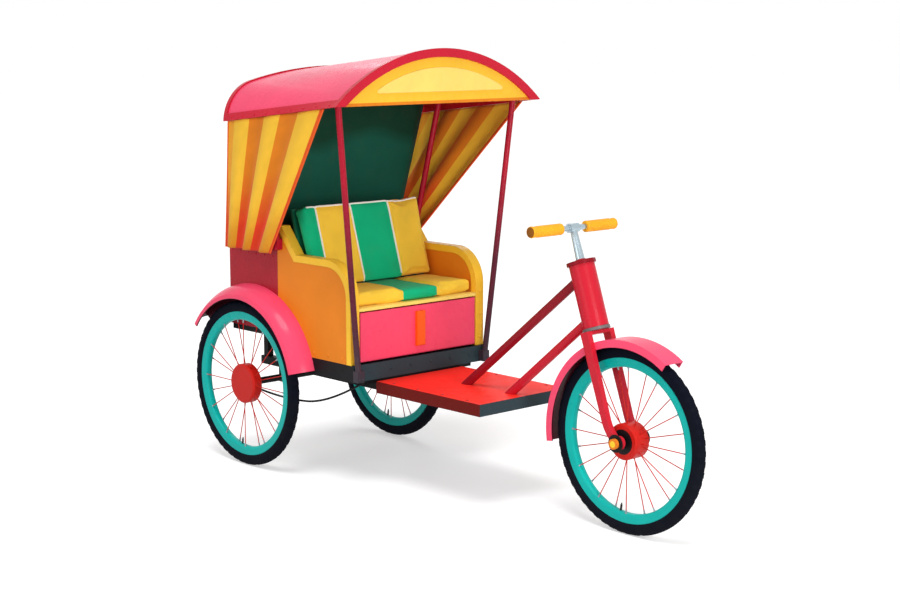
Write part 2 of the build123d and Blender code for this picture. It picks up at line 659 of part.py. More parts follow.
backrest_bottom = cushion_top + SOFT_GAP
back_lean = BACKREST_LEAN
board_foot = BACKREST_FOOT - BACKREST_THICKNESS + back_lean * (backrest_bottom - seat_top)
board_top = BACKREST_TOP - BACKREST_THICKNESS * back_lean
board_head = BACKREST_FOOT - BACKREST_THICKNESS - back_lean * (board_top - backrest_bottom)
board_half = trim_inner - SOFT_GAP
with BuildPart() as back_board:
    with BuildSketch(Plane.XZ):
        Polygon(
            (station(board_foot), seat_top),
            (station(board_head), board_top),
            (station(board_head - BACK_BOARD_THICKNESS), board_top),
            (station(board_foot - BACK_BOARD_THICKNESS), seat_top),
            align=None,
        )
    extrude(amount=board_half, both=True)
back_board.part.label = "back board"
export_step(back_board.part, "parts/back_board.step")

# Seat cushion and backrest cushion
cushion_rear = board_foot + SOFT_GAP
with BuildPart() as seat_cushion:
    with Locations((station((cushion_rear + CUSHION_FRONT) / 2), 0, seat_top + CUSHION_THICKNESS / 2)):
        Box(CUSHION_FRONT - cushion_rear, 2 * board_half, CUSHION_THICKNESS)
seat_cushion.part.label = "seat cushion"
export_step(seat_cushion.part, "parts/seat_cushion.step")

backrest_rear = BACKREST_FOOT - BACKREST_THICKNESS + SOFT_GAP
with BuildPart() as backrest:
    with BuildSketch(Plane.XZ):
        Polygon(
            (station(BACKREST_FOOT), backrest_bottom),
            (station(BACKREST_FOOT - back_lean * (BACKREST_TOP - backrest_bottom)), BACKREST_TOP),
            (station(board_head + SOFT_GAP), board_top),
            (station(backrest_rear), backrest_bottom),
            align=None,
        )
    extrude(amount=board_half, both=True)
backrest.part.label = "backrest"
export_step(backrest.part, "parts/backrest.step")

# Battery block in the locker under the seat
with BuildPart() as battery:
    with Locations((station(BATTERY_STATION), 0, plinth_top + BATTERY_HEIGHT / 2)):
        Box(BATTERY_LENGTH, BATTERY_WIDTH, BATTERY_HEIGHT)
battery.part.label = "battery"
export_step(battery.part, "parts/battery.step")

# Drop-down flap of the locker, its hinge pins and its handle
flap_axis_station = WALL_FRONT - FLAP_THICKNESS / 2
flap_axis_height = plinth_top + FLAP_CLEARANCE + FLAP_THICKNESS / 2
flap_top = SEAT_BOARD_BOTTOM - FLAP_CLEARANCE
flap_half = trim_inner - FLAP_CLEARANCE
with BuildPart() as seat_flap:
    with BuildSketch(Plane.XZ):
        with Locations((station(flap_axis_station), flap_axis_height)):
            Rectangle(FLAP_THICKNESS, flap_top - flap_axis_height, align=(Align.CENTER, Align.MIN))
            Circle(FLAP_THICKNESS / 2)
    extrude(amount=flap_half, both=True)
    for side, sign in SIDES:
        pin_middle = sign * (flap_half - FLAP_PIN_DEPTH / 2)
        with Locations(Location((station(flap_axis_station), pin_middle, flap_axis_height), (90, 0, 0))):
            Cylinder(FLAP_PIN_RADIUS + RUNNING_FIT, FLAP_PIN_DEPTH, mode=Mode.SUBTRACT)
seat_flap.part.label = "seat flap"
export_step(seat_flap.part, "parts/seat_flap.step")

pin_length = FLAP_CLEARANCE + FLAP_PIN_DEPTH - SEATING
with BuildPart() as flap_pins:
    for side, sign in SIDES:
        pin_middle = sign * (trim_inner - pin_length / 2)
        with Locations(Location((station(flap_axis_station), pin_middle, flap_axis_height), (90, 0, 0))):
            Cylinder(FLAP_PIN_RADIUS, pin_length)
flap_pins.part.label = "flap hinge pins"
export_step(flap_pins.part, "parts/flap_pins.step")

with BuildPart() as flap_handle:
    with Locations((station(WALL_FRONT + HANDLE_THICKNESS / 2), 0, (HANDLE_BOTTOM + HANDLE_TOP) / 2)):
        Box(HANDLE_THICKNESS, HANDLE_WIDTH, HANDLE_TOP - HANDLE_BOTTOM)
    fillet(flap_handle.faces().sort_by(Axis.X)[-1].edges(), radius=HANDLE_EDGE)
flap_handle.part.label = "flap handle"
export_step(flap_handle.part, "parts/flap_handle.step")

# Rear luggage box: an open tub and its top board
with BuildPart() as rear_box:
    with Locations((station((BOX_REAR + box_front) / 2), 0, (BOX_BOTTOM + BOX_TOP - BOX_WALL) / 2)):
        Box(box_front - BOX_REAR, 2 * BODY_HALF_WIDTH, BOX_TOP - BOX_WALL - BOX_BOTTOM)
    with Locations((station((BOX_REAR + box_front) / 2), 0, (BOX_BOTTOM + BOX_TOP) / 2)):
        Box(
            box_front - BOX_REAR - 2 * BOX_WALL,
            2 * (BODY_HALF_WIDTH - BOX_WALL),
            BOX_TOP - BOX_BOTTOM - 2 * BOX_WALL,
            mode=Mode.SUBTRACT,
        )
rear_box.part.label = "rear box"
export_step(rear_box.part, "parts/rear_box.step")

with BuildPart() as box_top:
    with Locations((station((BOX_REAR + box_front) / 2), 0, BOX_TOP - BOX_WALL / 2)):
        Box(box_front - BOX_REAR, 2 * BODY_HALF_WIDTH, BOX_WALL)
box_top.part.label = "rear box top"
export_step(box_top.part, "parts/box_top.step")

# Canopy: an arched roof that climbs forward, from a rear arch with square shoulders to a round front arch
roof_rear = CANOPY_REAR + ARCH_LENGTH
roof_front = CANOPY_FRONT - ARCH_LENGTH
climb = Vector(1, 0, canopy_slope)


def across_plane(distance):
    return Plane(origin=(station(distance), 0, 0), x_dir=(0, 1, 0), z_dir=(1, 0, 0))


def climb_length(start, end):
    return (end - start) * climb.length


# Arches: shoulder centre out from the middle and up from the eave, shoulder radius, crown centre up from the
# eave, crown radius. The front arch is one circle.
shoulder_out = CANOPY_HALF_WIDTH - REAR_ARCH_SHOULDER
rear_crown_up = CANOPY_RISE - REAR_ARCH_CROWN
shoulder_up = rear_crown_up + sqrt((REAR_ARCH_CROWN - REAR_ARCH_SHOULDER) ** 2 - shoulder_out**2)
front_arch_radius = (CANOPY_HALF_WIDTH**2 + CANOPY_RISE**2) / (2 * CANOPY_RISE)
front_crown_up = CANOPY_RISE - front_arch_radius
REAR_ARCH = (shoulder_out, shoulder_up, REAR_ARCH_SHOULDER, rear_crown_up, REAR_ARCH_CROWN)
FRONT_ARCH = (0.0, front_crown_up, front_arch_radius, front_crown_up, front_arch_radius)

# The roof rails touch the underside of the roof along their outer edges, and the arches are divided into
# shoulders and crown so that a straight line of the roof runs along each rail
roof_rail_offset = CANOPY_HALF_WIDTH - ROOF_RAIL_INSET
rail_outer_edge = roof_rail_offset + ROOF_RAIL_SIZE / 2


def eave_angle(arch, depth):
    out, up, radius, crown_up, crown_radius = arch
    return degrees(asin(-up / (radius - depth)))


def rail_angle(arch):
    out, up, radius, crown_up, crown_radius = arch
    return degrees(acos((rail_outer_edge - out) / (radius - roof_depth)))


rear_join = degrees(atan2(shoulder_up - rear_crown_up, shoulder_out))
rear_eave = eave_angle(REAR_ARCH, roof_depth)
front_eave = eave_angle(FRONT_ARCH, roof_depth)
rail_share = (rail_angle(REAR_ARCH) - rear_eave) / (rear_join - rear_eave)
front_join = front_eave + (rail_angle(FRONT_ARCH) - front_eave) / rail_share


def arch_line(arch, join, eave, depth):
    out, up, radius, crown_up, crown_radius = arch
    foot = eave_angle(arch, depth)
    return [
        CenterArc((out, eave + up), radius - depth, foot, join - foot, mode=Mode.PRIVATE),
        CenterArc((0, eave + crown_up), crown_radius - depth, join, 180 - 2 * join, mode=Mode.PRIVATE),
        CenterArc((-out, eave + up), radius - depth, 180 - join, join - foot, mode=Mode.PRIVATE),
    ]


def arch_band(arch, join, distance, outer_depth, inner_depth):
    with BuildLine(across_plane(distance)):
        outer = arch_line(arch, join, eave_height(distance), outer_depth)
        inner = arch_line(arch, join, eave_height(distance), inner_depth)
        left_foot = Line(outer[0] @ 0, inner[0] @ 0, mode=Mode.PRIVATE)
        right_foot = Line(outer[-1] @ 1, inner[-1] @ 1, mode=Mode.PRIVATE)
    return Face(Wire([*outer, right_foot, *inner, left_foot]))


with BuildPart() as roof:
    roof_rear_section = arch_band(REAR_ARCH, rear_join, roof_rear, TRIM_THICKNESS, roof_depth)
    roof_front_section = arch_band(FRONT_ARCH, front_join, roof_front, TRIM_THICKNESS, roof_depth)
    loft((roof_rear_section, roof_front_section), ruled=True)
roof.part.label = "roof"
export_step(roof.part, "parts/roof.step")

band_top = Plane(
    origin=(station(roof_rear), 0, eave_height(roof_rear) + EAVE_BAND), z_dir=(-canopy_slope, 0, 1)
)
with BuildPart() as roof_trim:
    eave_rear_section = arch_band(REAR_ARCH, rear_join, roof_rear, 0.0, TRIM_THICKNESS)
    eave_front_section = arch_band(FRONT_ARCH, front_join, roof_front, 0.0, TRIM_THICKNESS)
    loft((eave_rear_section, eave_front_section), ruled=True)
    split(bisect_by=band_top, keep=Keep.BOTTOM)
    rear_hoop_section = arch_band(REAR_ARCH, rear_join, CANOPY_REAR, 0.0, ARCH_BAND)
    extrude(rear_hoop_section, amount=climb_length(CANOPY_REAR, roof_rear), dir=climb)
    front_hoop_section = arch_band(FRONT_ARCH, front_join, roof_front, 0.0, ARCH_BAND)
    extrude(front_hoop_section, amount=climb_length(roof_front, CANOPY_FRONT), dir=climb)
roof_trim.part.label = "roof trim"
export_step(roof_trim.part, "parts/roof_trim.step")

gable_front = CANOPY_FRONT - GABLE_SETBACK
gable_rear = gable_front - GABLE_THICKNESS
gable_foot = eave_angle(FRONT_ARCH, ARCH_BAND)
lens_base = eave_height(gable_front)
with BuildPart() as gable:
    with BuildSketch(across_plane(gable_rear)):
        with BuildLine():
            gable_arc = CenterArc(
                (0, eave_height(gable_rear) + front_crown_up),
                front_arch_radius - ARCH_BAND,
                gable_foot,
                180 - 2 * gable_foot,
            )
            Line(gable_arc @ 0, gable_arc @ 1)
        make_face()
    extrude(amount=climb_length(gable_rear, gable_front), dir=climb)
    with BuildSketch(across_plane(gable_front)) as lens:
        with BuildLine():
            ThreePointArc(
                (-LENS_HALF_WIDTH, lens_base + LENS_FOOT),
                (0, lens_base + LENS_CREST),
                (LENS_HALF_WIDTH, lens_base + LENS_FOOT),
            )
            Line((LENS_HALF_WIDTH, lens_base + LENS_FOOT), (-LENS_HALF_WIDTH, lens_base + LENS_FOOT))
        make_face()
        fillet(lens.vertices(), radius=LENS_CORNER)
    extrude(amount=LENS_PROUD)
gable.part.label = "front gable"
export_step(gable.part, "parts/gable.step")

# Back panel of cloth between the rear arch and the rear box
back_panel_rear = roof_rear + SEATING
panel_foot_half = BODY_HALF_WIDTH - BACK_PANEL_FOOT_INSET
panel_eave_half = CANOPY_HALF_WIDTH - BACK_PANEL_EAVE_INSET
panel_depth = roof_depth + BACK_PANEL_HEAD_GAP
panel_eave = eave_height(back_panel_rear)
panel_turn = degrees(acos((panel_eave_half - shoulder_out) / (REAR_ARCH_SHOULDER - panel_depth)))
with BuildPart() as back_panel:
    with BuildSketch(across_plane(back_panel_rear)):
        with BuildLine():
            panel_left = CenterArc(
                (shoulder_out, panel_eave + shoulder_up),
                REAR_ARCH_SHOULDER - panel_depth,
                panel_turn,
                rear_join - panel_turn,
            )
            CenterArc(
                (0, panel_eave + rear_crown_up),
                REAR_ARCH_CROWN - panel_depth,
                rear_join,
                180 - 2 * rear_join,
            )
            panel_right = CenterArc(
                (-shoulder_out, panel_eave + shoulder_up),
                REAR_ARCH_SHOULDER - panel_depth,
                180 - rear_join,
                rear_join - panel_turn,
            )
            Polyline(
                panel_left @ 0,
                (panel_foot_half, BOX_TOP),
                (-panel_foot_half, BOX_TOP),
                panel_right @ 1,
            )
        make_face()
    extrude(amount=BACK_PANEL_THICKNESS)
back_panel.part.label = "back panel"
export_step(back_panel.part, "parts/back_panel.step")


# Roof rails that tie the poles together under the roof
def rail_rise(arch):
    out, up, radius, crown_up, crown_radius = arch
    return up + (radius - roof_depth) * sin(radians(rail_angle(arch))) - SEATING


rail_rear_top = eave_height(roof_rear) + rail_rise(REAR_ARCH)
rail_front_top = eave_height(roof_front) + rail_rise(FRONT_ARCH)
rail_slope = (rail_front_top - rail_rear_top) / (roof_front - roof_rear)
rail_run = Vector(1, 0, rail_slope)
rail_start = back_panel_rear + BACK_PANEL_THICKNESS + SEATING
rail_length = roof_front - SEATING - rail_start


def rail_height(distance):
    return rail_rear_top + (distance - roof_rear) * rail_slope


with BuildPart() as roof_rails:
    with BuildSketch(across_plane(rail_start)):
        for side, sign in SIDES:
            with Locations((sign * roof_rail_offset, rail_height(rail_start))):
                Rectangle(ROOF_RAIL_SIZE, ROOF_RAIL_SIZE, align=(Align.CENTER, Align.MAX))
    extrude(amount=rail_length * rail_run.length, dir=rail_run)
roof_rails.part.label = "roof rails"
export_step(roof_rails.part, "parts/roof_rails.step")

# Poles: front shoes on the plinth front, rear ones on the wall sides; tops cut to the roof rail
POLES = (
    # place, radius, foot station, foot offset, foot height, top station, shoe length, shoe width
    (
        "front",
        FRONT_POLE_RADIUS,
        PLINTH_FRONT + SHOE_DEPTH / 2,
        BODY_HALF_WIDTH - SHOE_BREADTH / 2,
        PLINTH_BOTTOM + FRONT_POLE_FOOT_RISE,
        FRONT_POLE_TOP_STATION,
        SHOE_DEPTH,
        SHOE_BREADTH,
    ),
    (
        "rear",
        REAR_POLE_RADIUS,
        WALL_REAR + REAR_POLE_FOOT_AHEAD,
        BODY_HALF_WIDTH + SHOE_DEPTH / 2,
        ARM_HEIGHT + REAR_POLE_FOOT_RISE,
        REAR_POLE_TOP_STATION,
        SHOE_BREADTH,
        SHOE_DEPTH,
    ),
)
for place, radius, foot_station, foot_offset, foot_height, top_station, shoe_length, shoe_width in POLES:
    top_height = rail_height(top_station) - ROOF_RAIL_SIZE
    rail_underside = Plane(origin=(station(top_station), 0, top_height), z_dir=(-rail_slope, 0, 1))
    with BuildPart() as poles:
        for side, sign in SIDES:
            pole_foot = Vector(station(foot_station), sign * foot_offset, foot_height)
            pole_head = Vector(station(top_station), sign * roof_rail_offset, top_height)
            pole_run = pole_head - pole_foot
            with BuildSketch(Plane(origin=pole_foot, z_dir=pole_run)):
                Circle(radius)
            extrude(amount=pole_run.length + radius)
            with Locations((station(foot_station), sign * foot_offset, foot_height + SHOE_HEIGHT / 2)):
                Box(shoe_length, shoe_width, SHOE_HEIGHT)
        split(bisect_by=rail_underside, keep=Keep.BOTTOM)
    poles.part.label = place + " poles"
    export_step(poles.part, "parts/" + place + "_poles.step")

# Curtains: pleated cloth from the eave back and in to the sides of the rear box
fold_count = 2 * CURTAIN_PLEATS
curtain_top_offset = CANOPY_HALF_WIDTH - CURTAIN_TOP_INSET
curtain_foot_offset = BODY_HALF_WIDTH + CURTAIN_FOOT_STANDOFF


def pleats(sign, rear, front, offset, fold):
    outer = []
    inner = []
    for index in range(fold_count + 1):
        ahead = rear + (front - rear) * index / fold_count
        wave = -fold if index % 2 else fold
        outer.append((station(ahead), sign * (offset + wave + CURTAIN_SHEET / 2)))
        inner.append((station(ahead), sign * (offset + wave - CURTAIN_SHEET / 2)))
    return outer + inner[::-1]


eave_slope_plane = Plane(
    origin=(station(0), 0, eave_height(0) - SEATING),
    x_dir=(1, 0, canopy_slope),
    z_dir=(-canopy_slope, 0, 1),
)
with BuildPart() as curtains:
    for side, sign in SIDES:
        foot_points = pleats(
            sign, CURTAIN_FOOT_REAR, CURTAIN_FOOT_FRONT, curtain_foot_offset, CURTAIN_FOOT_FOLD
        )
        top_points = pleats(sign, CURTAIN_TOP_REAR, CURTAIN_TOP_FRONT, curtain_top_offset, CURTAIN_TOP_FOLD)
        with BuildSketch(Plane.XY.offset(BOX_TOP - CURTAIN_FOOT_LAP)):
            Polygon(*foot_points, align=None)
        with BuildSketch(eave_slope_plane):
            Polygon(*[((x - station(0)) * climb.length, y) for x, y in top_points], align=None)
        loft(ruled=True)
curtains.part.label = "curtains"
export_step(curtains.part, "parts/curtains.step")
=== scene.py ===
import math

import bmesh
import bpy
from mathutils import Matrix, Vector
from mathutils.bvhtree import BVHTree


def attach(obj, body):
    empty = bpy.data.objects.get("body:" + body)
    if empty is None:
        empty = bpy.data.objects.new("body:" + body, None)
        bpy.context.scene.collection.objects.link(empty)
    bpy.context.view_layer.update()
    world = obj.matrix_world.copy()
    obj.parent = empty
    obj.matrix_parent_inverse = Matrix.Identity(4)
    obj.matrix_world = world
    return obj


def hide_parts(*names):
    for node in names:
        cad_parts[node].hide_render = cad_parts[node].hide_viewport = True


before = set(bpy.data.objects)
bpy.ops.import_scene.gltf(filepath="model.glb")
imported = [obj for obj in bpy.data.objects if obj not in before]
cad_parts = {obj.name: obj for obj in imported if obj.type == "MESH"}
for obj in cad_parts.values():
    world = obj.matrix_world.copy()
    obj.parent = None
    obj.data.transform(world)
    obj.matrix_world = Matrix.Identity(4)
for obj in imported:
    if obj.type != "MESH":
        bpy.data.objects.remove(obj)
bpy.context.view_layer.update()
scene = bpy.context.scene
scene.view_settings.view_transform = "Standard"

# Studio: a sheet of white paper for a floor, which keeps the soft shadow, under an even white sky.
# A soft sun and three softboxes light it. The camera stands off the front corner, just above the roof.
WHITE = (1.0, 1.0, 1.0, 1.0)
FLOOR_REACH = 40.0
FLOOR_WHITE = (0.78, 0.78, 0.78, 1.0)
FLOOR_LIFT = 0.42
SKY_LIGHT = 0.44
SUN_LIGHT = 1.45
SUN_SPREAD = math.radians(24)
SUN_FROM = Vector((0.22, -0.30, 0.93))
SUN_DISTANCE = 6.0
SOFTBOXES = (
    # place, size, watts
    ((-3.3, 3.0, 4.4), 2.6, 45.0),
    ((4.6, -1.2, 1.5), 1.8, 98.0),
    ((0.2, -5.0, 2.0), 2.6, 36.0),
)
SOFTBOX_AIM = Vector((0.0, 0.0, 0.8))
CAMERA_PLACE = Vector((5.1537, -4.8012, 1.8844))
CAMERA_AIM = Vector((-0.0696, 0.0, 0.7781))
CAMERA_LENS = 69.78
CAMERA_FILM = 36.0


def add_node(tree, kind, inputs=None, **settings):
    made = tree.nodes.new(kind)
    for setting, value in settings.items():
        setattr(made, setting, value)
    for socket, value in (inputs or {}).items():
        if isinstance(value, bpy.types.NodeSocket):
            tree.links.new(value, made.inputs[socket])
        else:
            made.inputs[socket].default_value = value
    return made


def worked_out(tree, how, first, second=0.0):
    return add_node(tree, "ShaderNodeMath", {0: first, 1: second}, operation=how).outputs[0]


def seen_rays(tree):
    path = add_node(tree, "ShaderNodeLightPath").outputs
    seen = path["Is Camera Ray"]
    for ray in ("Is Glossy Ray", "Is Transmission Ray"):
        seen = worked_out(tree, "MAXIMUM", seen, path[ray])
    return seen


def aim(thing, place, target):
    thing.location = place
    thing.rotation_euler = (target - place).to_track_quat("-Z", "Y").to_euler()


scene.world = bpy.data.worlds.new("studio_sky")
scene.world.use_nodes = True
sky = scene.world.node_tree
sky.nodes.clear()
sky_fill = add_node(sky, "ShaderNodeBackground", {"Color": WHITE, "Strength": SKY_LIGHT})
sky_white = add_node(sky, "ShaderNodeBackground", {"Color": WHITE, "Strength": 1.0})
sky_mix = add_node(
    sky, "ShaderNodeMixShader", {0: seen_rays(sky), 1: sky_fill.outputs[0], 2: sky_white.outputs[0]}
)
add_node(sky, "ShaderNodeOutputWorld", {"Surface": sky_mix.outputs[0]})

floor_mesh = bpy.data.meshes.new("studio_floor")
floor_shape = bmesh.new()
bmesh.ops.create_grid(floor_shape, x_segments=2, y_segments=2, size=FLOOR_REACH)
floor_shape.to_mesh(floor_mesh)
floor_shape.free()
floor = bpy.data.objects.new("studio_floor", floor_mesh)
scene.collection.objects.link(floor)
floor_paper = bpy.data.materials.new("floor_paper")
floor_paper.use_nodes = True
paper = floor_paper.node_tree
paper.nodes.clear()
paper_matt = add_node(paper, "ShaderNodeBsdfDiffuse", {"Color": FLOOR_WHITE})
lift = worked_out(paper, "MULTIPLY", seen_rays(paper), FLOOR_LIFT)
paper_lift = add_node(paper, "ShaderNodeEmission", {"Color": WHITE, "Strength": lift})
paper_sum = add_node(paper, "ShaderNodeAddShader", {0: paper_matt.outputs[0], 1: paper_lift.outputs[0]})
add_node(paper, "ShaderNodeOutputMaterial", {"Surface": paper_sum.outputs[0]})
floor_mesh.materials.append(floor_paper)

sun_lamp = bpy.data.lights.new("studio_sun", "SUN")
sun_lamp.energy = SUN_LIGHT
sun_lamp.angle = SUN_SPREAD
sun = bpy.data.objects.new("studio_sun", sun_lamp)
scene.collection.objects.link(sun)
aim(sun, SUN_FROM * SUN_DISTANCE, Vector())
for number, (place, size, watts) in enumerate(SOFTBOXES):
    lamp = bpy.data.lights.new(f"softbox_{number}", "AREA")
    lamp.size = size
    lamp.energy = watts
    softbox = bpy.data.objects.new(f"softbox_{number}", lamp)
    scene.collection.objects.link(softbox)
    aim(softbox, Vector(place), SOFTBOX_AIM)

camera_body = bpy.data.cameras.new("camera")
camera_body.lens = CAMERA_LENS
camera_body.sensor_width = CAMERA_FILM
camera = bpy.data.objects.new("camera", camera_body)
scene.collection.objects.link(camera)
aim(camera, CAMERA_PLACE, CAMERA_AIM)
scene.camera = camera

# Chassis: two long rails, their cross bearers and the frame under the rear box, welded from black steel.
# The enamel is brushed on over primer, so it lies a little uneven and rubs thin along the edges.
BLACK_STEEL = (14, 15, 18)
PRIMER = (96, 92, 88)
CHIP_EDGE = (0.97, 0.80)
CHIP_GRAIN = 70.0
CHIP_CUT = (0.50, 0.62)
CLOUD_GRAIN = 5.0
CLOUD_TONES = (0.93, 1.05)
DUST = (176, 166, 150)
DUST_HEIGHT = 0.75
DUST_GRAIN = 18.0
DUST_SHARE = 0.025
SMEAR_GRAIN = 26.0
SMEAR_ROUGHNESS = (-0.05, 0.07)
WORN_ROUGHNESS = 0.22
PEEL_GRAIN = 260.0
PEEL_RISE = 0.12
ENAMEL_RELIEF = 0.20
ENAMEL_DEPTH = 0.0006
COAT_ROUGHNESS = 0.12
NOISE_MIDDLE = (0.30, 0.70)
FINISH = (
    # what a finish puts out, its kind, the shader socket that it feeds
    ("Colour", "NodeSocketColor", "Base Color"),
    ("Roughness", "NodeSocketFloat", "Roughness"),
    ("Normal", "NodeSocketVector", "Normal"),
)


def paint(red, green, blue):
    # The usual curve from screen values to light
    def linear(value):
        part = value / 255
        return part / 12.92 if part <= 0.04045 else ((part + 0.055) / 1.055) ** 2.4

    return (linear(red), linear(green), linear(blue), 1.0)


def effect_group(name, inputs):
    group = bpy.data.node_groups.new(name, "ShaderNodeTree")
    for socket, kind, value in inputs:
        group.interface.new_socket(socket, in_out="INPUT", socket_type=kind).default_value = value
    for socket, kind, _ in FINISH:
        group.interface.new_socket(socket, in_out="OUTPUT", socket_type=kind)
    return group, group.nodes.new("NodeGroupInput").outputs, group.nodes.new("NodeGroupOutput")


def spread(tree, value, low, high, start=0.0, end=1.0):
    ranged = {"Value": value, "From Min": low, "From Max": high, "To Min": start, "To Max": end}
    return add_node(tree, "ShaderNodeMapRange", ranged).outputs[0]


def times(tree, first, second):
    return worked_out(tree, "MULTIPLY", first, second)


def plus(tree, first, second):
    return worked_out(tree, "ADD", first, second)


def lined_up(tree, first, second):
    dot = add_node(tree, "ShaderNodeVectorMath", {0: first, 1: second}, operation="DOT_PRODUCT")
    return dot.outputs["Value"]


def mixed(tree, amount, first, second):
    mix = add_node(tree, "ShaderNodeMix", {0: amount, 6: first, 7: second}, data_type="RGBA")
    return mix.outputs[2]


def speckle(tree, place, scale, detail):
    noise = {"Vector": place, "Scale": scale, "Detail": detail}
    return add_node(tree, "ShaderNodeTexNoise", noise).outputs[0]


# Brushed enamel: cloudy tone, fine orange peel, rounded edges that chip to primer, and dust low down.
enamel, given, enamel_out = effect_group(
    "brushed_enamel",
    (
        ("Paint", "NodeSocketColor", (0.8, 0.1, 0.1, 1.0)),
        ("Chips", "NodeSocketColor", paint(*PRIMER)),
        ("Wear", "NodeSocketFloat", 0.5),
        ("Sheen", "NodeSocketFloat", 0.3),
        ("Round", "NodeSocketFloat", 0.003),
    ),
)
place = add_node(enamel, "ShaderNodeTexCoord").outputs["Object"]
height = add_node(enamel, "ShaderNodeSeparateXYZ", {0: place}).outputs["Z"]
rounded = add_node(enamel, "ShaderNodeBevel", {"Radius": given["Round"]}, samples=4).outputs[0]
straight = add_node(enamel, "ShaderNodeNewGeometry").outputs["Normal"]
edge = spread(enamel, lined_up(enamel, rounded, straight), *CHIP_EDGE)
flakes = spread(enamel, speckle(enamel, place, CHIP_GRAIN, detail=6.0), *CHIP_CUT)
chip = times(enamel, times(enamel, edge, flakes), given["Wear"])
cloud = spread(enamel, speckle(enamel, place, CLOUD_GRAIN, detail=3.0), *NOISE_MIDDLE, *CLOUD_TONES)
toned = add_node(enamel, "ShaderNodeHueSaturation", {"Value": cloud, "Color": given["Paint"]}).outputs[0]
near_ground = spread(enamel, height, DUST_HEIGHT, 0.0)
low_down = times(enamel, near_ground, speckle(enamel, place, DUST_GRAIN, detail=5.0))
dusted = mixed(enamel, times(enamel, low_down, DUST_SHARE), toned, paint(*DUST))
enamel.links.new(mixed(enamel, chip, dusted, given["Chips"]), enamel_out.inputs["Colour"])
smear = spread(enamel, speckle(enamel, place, SMEAR_GRAIN, detail=4.0), *NOISE_MIDDLE, *SMEAR_ROUGHNESS)
worn = times(enamel, plus(enamel, chip, low_down), WORN_ROUGHNESS)
rough = plus(enamel, plus(enamel, given["Sheen"], smear), worn)
enamel.links.new(rough, enamel_out.inputs["Roughness"])
peel = times(enamel, speckle(enamel, place, PEEL_GRAIN, detail=2.0), PEEL_RISE)
relief = plus(enamel, peel, times(enamel, chip, -1.0))
bump = {"Strength": ENAMEL_RELIEF, "Distance": ENAMEL_DEPTH, "Height": relief, "Normal": rounded}
enamel.links.new(add_node(enamel, "ShaderNodeBump", bump).outputs[0], enamel_out.inputs["Normal"])


def new_material(name, settings):
    material = bpy.data.materials.new(name)
    material.use_nodes = True
    shader = material.node_tree.nodes["Principled BSDF"]
    for socket, value in settings.items():
        shader.inputs[socket].default_value = value
    return material


def lay_on(tree, finish, values):
    laid = add_node(tree, "ShaderNodeGroup", values, node_tree=finish)
    for output, _, socket in FINISH:
        tree.links.new(laid.outputs[output], tree.nodes["Principled BSDF"].inputs[socket])


def painted(
    name, colours, chips=PRIMER, wear=0.45, sheen=0.30, coat=0.04, metal=0.0, shine=0.10, round_edge=0.003
):
    settings = {"Coat Weight": coat, "Coat Roughness": COAT_ROUGHNESS, "Metallic": metal}
    material = new_material(name, {**settings, "Specular IOR Level": shine})
    tree = material.node_tree
    colour = colours(tree) if callable(colours) else paint(*colours)
    values = {"Paint": colour, "Chips": paint(*chips), "Wear": wear, "Sheen": sheen, "Round": round_edge}
    lay_on(tree, enamel, values)
    return material


def dress(material, *nodes):
    for node in nodes:
        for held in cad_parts[node].material_slots:
            held.material = material


black_steel = painted("black_steel", BLACK_STEEL, wear=0.30, sheen=0.42, coat=0.01)
dress(black_steel, "chassis_rails", "cross_bearers", "box_frame", "rear_axle")

# Brake cables: black sheathed cable from each brake plate, sagging forward and in to the chassis rail.
# The sheath is smooth vinyl over a steel coil and is capped at both ends.
CABLE_WIDTH = 0.009
CABLE_ROUTE = (
    # ahead, out from the middle, up
    (-0.8607, 0.3845, 0.335),
    (-0.721, 0.3625, 0.312),
    (-0.491, 0.3105, 0.322),
    (-0.361, 0.2245, 0.418),
)
CABLE_BLACK = (16, 16, 20)
SIDES = (("right", -1), ("left", 1))


def cord_line(name, points, radius, sides, steps):
    line = bpy.data.curves.new(name, "CURVE")
    line.dimensions = "3D"
    line.bevel_depth = radius
    line.bevel_resolution = sides
    line.resolution_u = steps
    line.use_fill_caps = True
    spline = line.splines.new("NURBS")
    spline.points.add(len(points) - 1)
    for control, place in zip(spline.points, points):
        control.co = (*place, 1.0)
    spline.order_u = 3
    spline.use_endpoint_u = True
    cord = bpy.data.objects.new(name, line)
    scene.collection.objects.link(cord)
    return cord


cable_sheath = painted("cable_sheath", CABLE_BLACK, wear=0.1, sheen=0.38, coat=0.02, round_edge=0.001)
for side, sign in SIDES:
    route = [(ahead, sign * across, height) for ahead, across, height in CABLE_ROUTE]
    cable = cord_line(f"{side}_brake_cable", route, CABLE_WIDTH / 2, sides=4, steps=12)
    cable.data.materials.append(cable_sheath)
    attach(cable, "chassis")
    if side == "right":
        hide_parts("brake_cables")

# Foot deck: a folded steel tray painted bright red on top, with a darker red on its skirts as painted
# shade.
# The front skirt is slate. All of it is a matt enamel, which feet rub thin along the edges.
DECK_RED = (255, 50, 40)
SKIRT_SHADE_RED = (104, 10, 4)
SLATE = (46, 63, 69)


def past(tree, value, limit):
    return worked_out(tree, "GREATER_THAN", value, limit)


def facing(tree, direction, limit=0.5):
    normal = add_node(tree, "ShaderNodeTexCoord").outputs["Normal"]
    return past(tree, lined_up(tree, normal, direction), limit)


# Painted shade: faces that do not face up take the darker skirt red, and the front skirt is slate.
def deck_colours(tree):
    shade_on_skirts = mixed(tree, facing(tree, (0, 0, 1)), paint(*SKIRT_SHADE_RED), paint(*DECK_RED))
    return mixed(tree, facing(tree, (1, 0, 0)), shade_on_skirts, paint(*SLATE))


dress(painted("deck_paint", deck_colours, wear=0.35, sheen=0.45, coat=0.01), "deck")

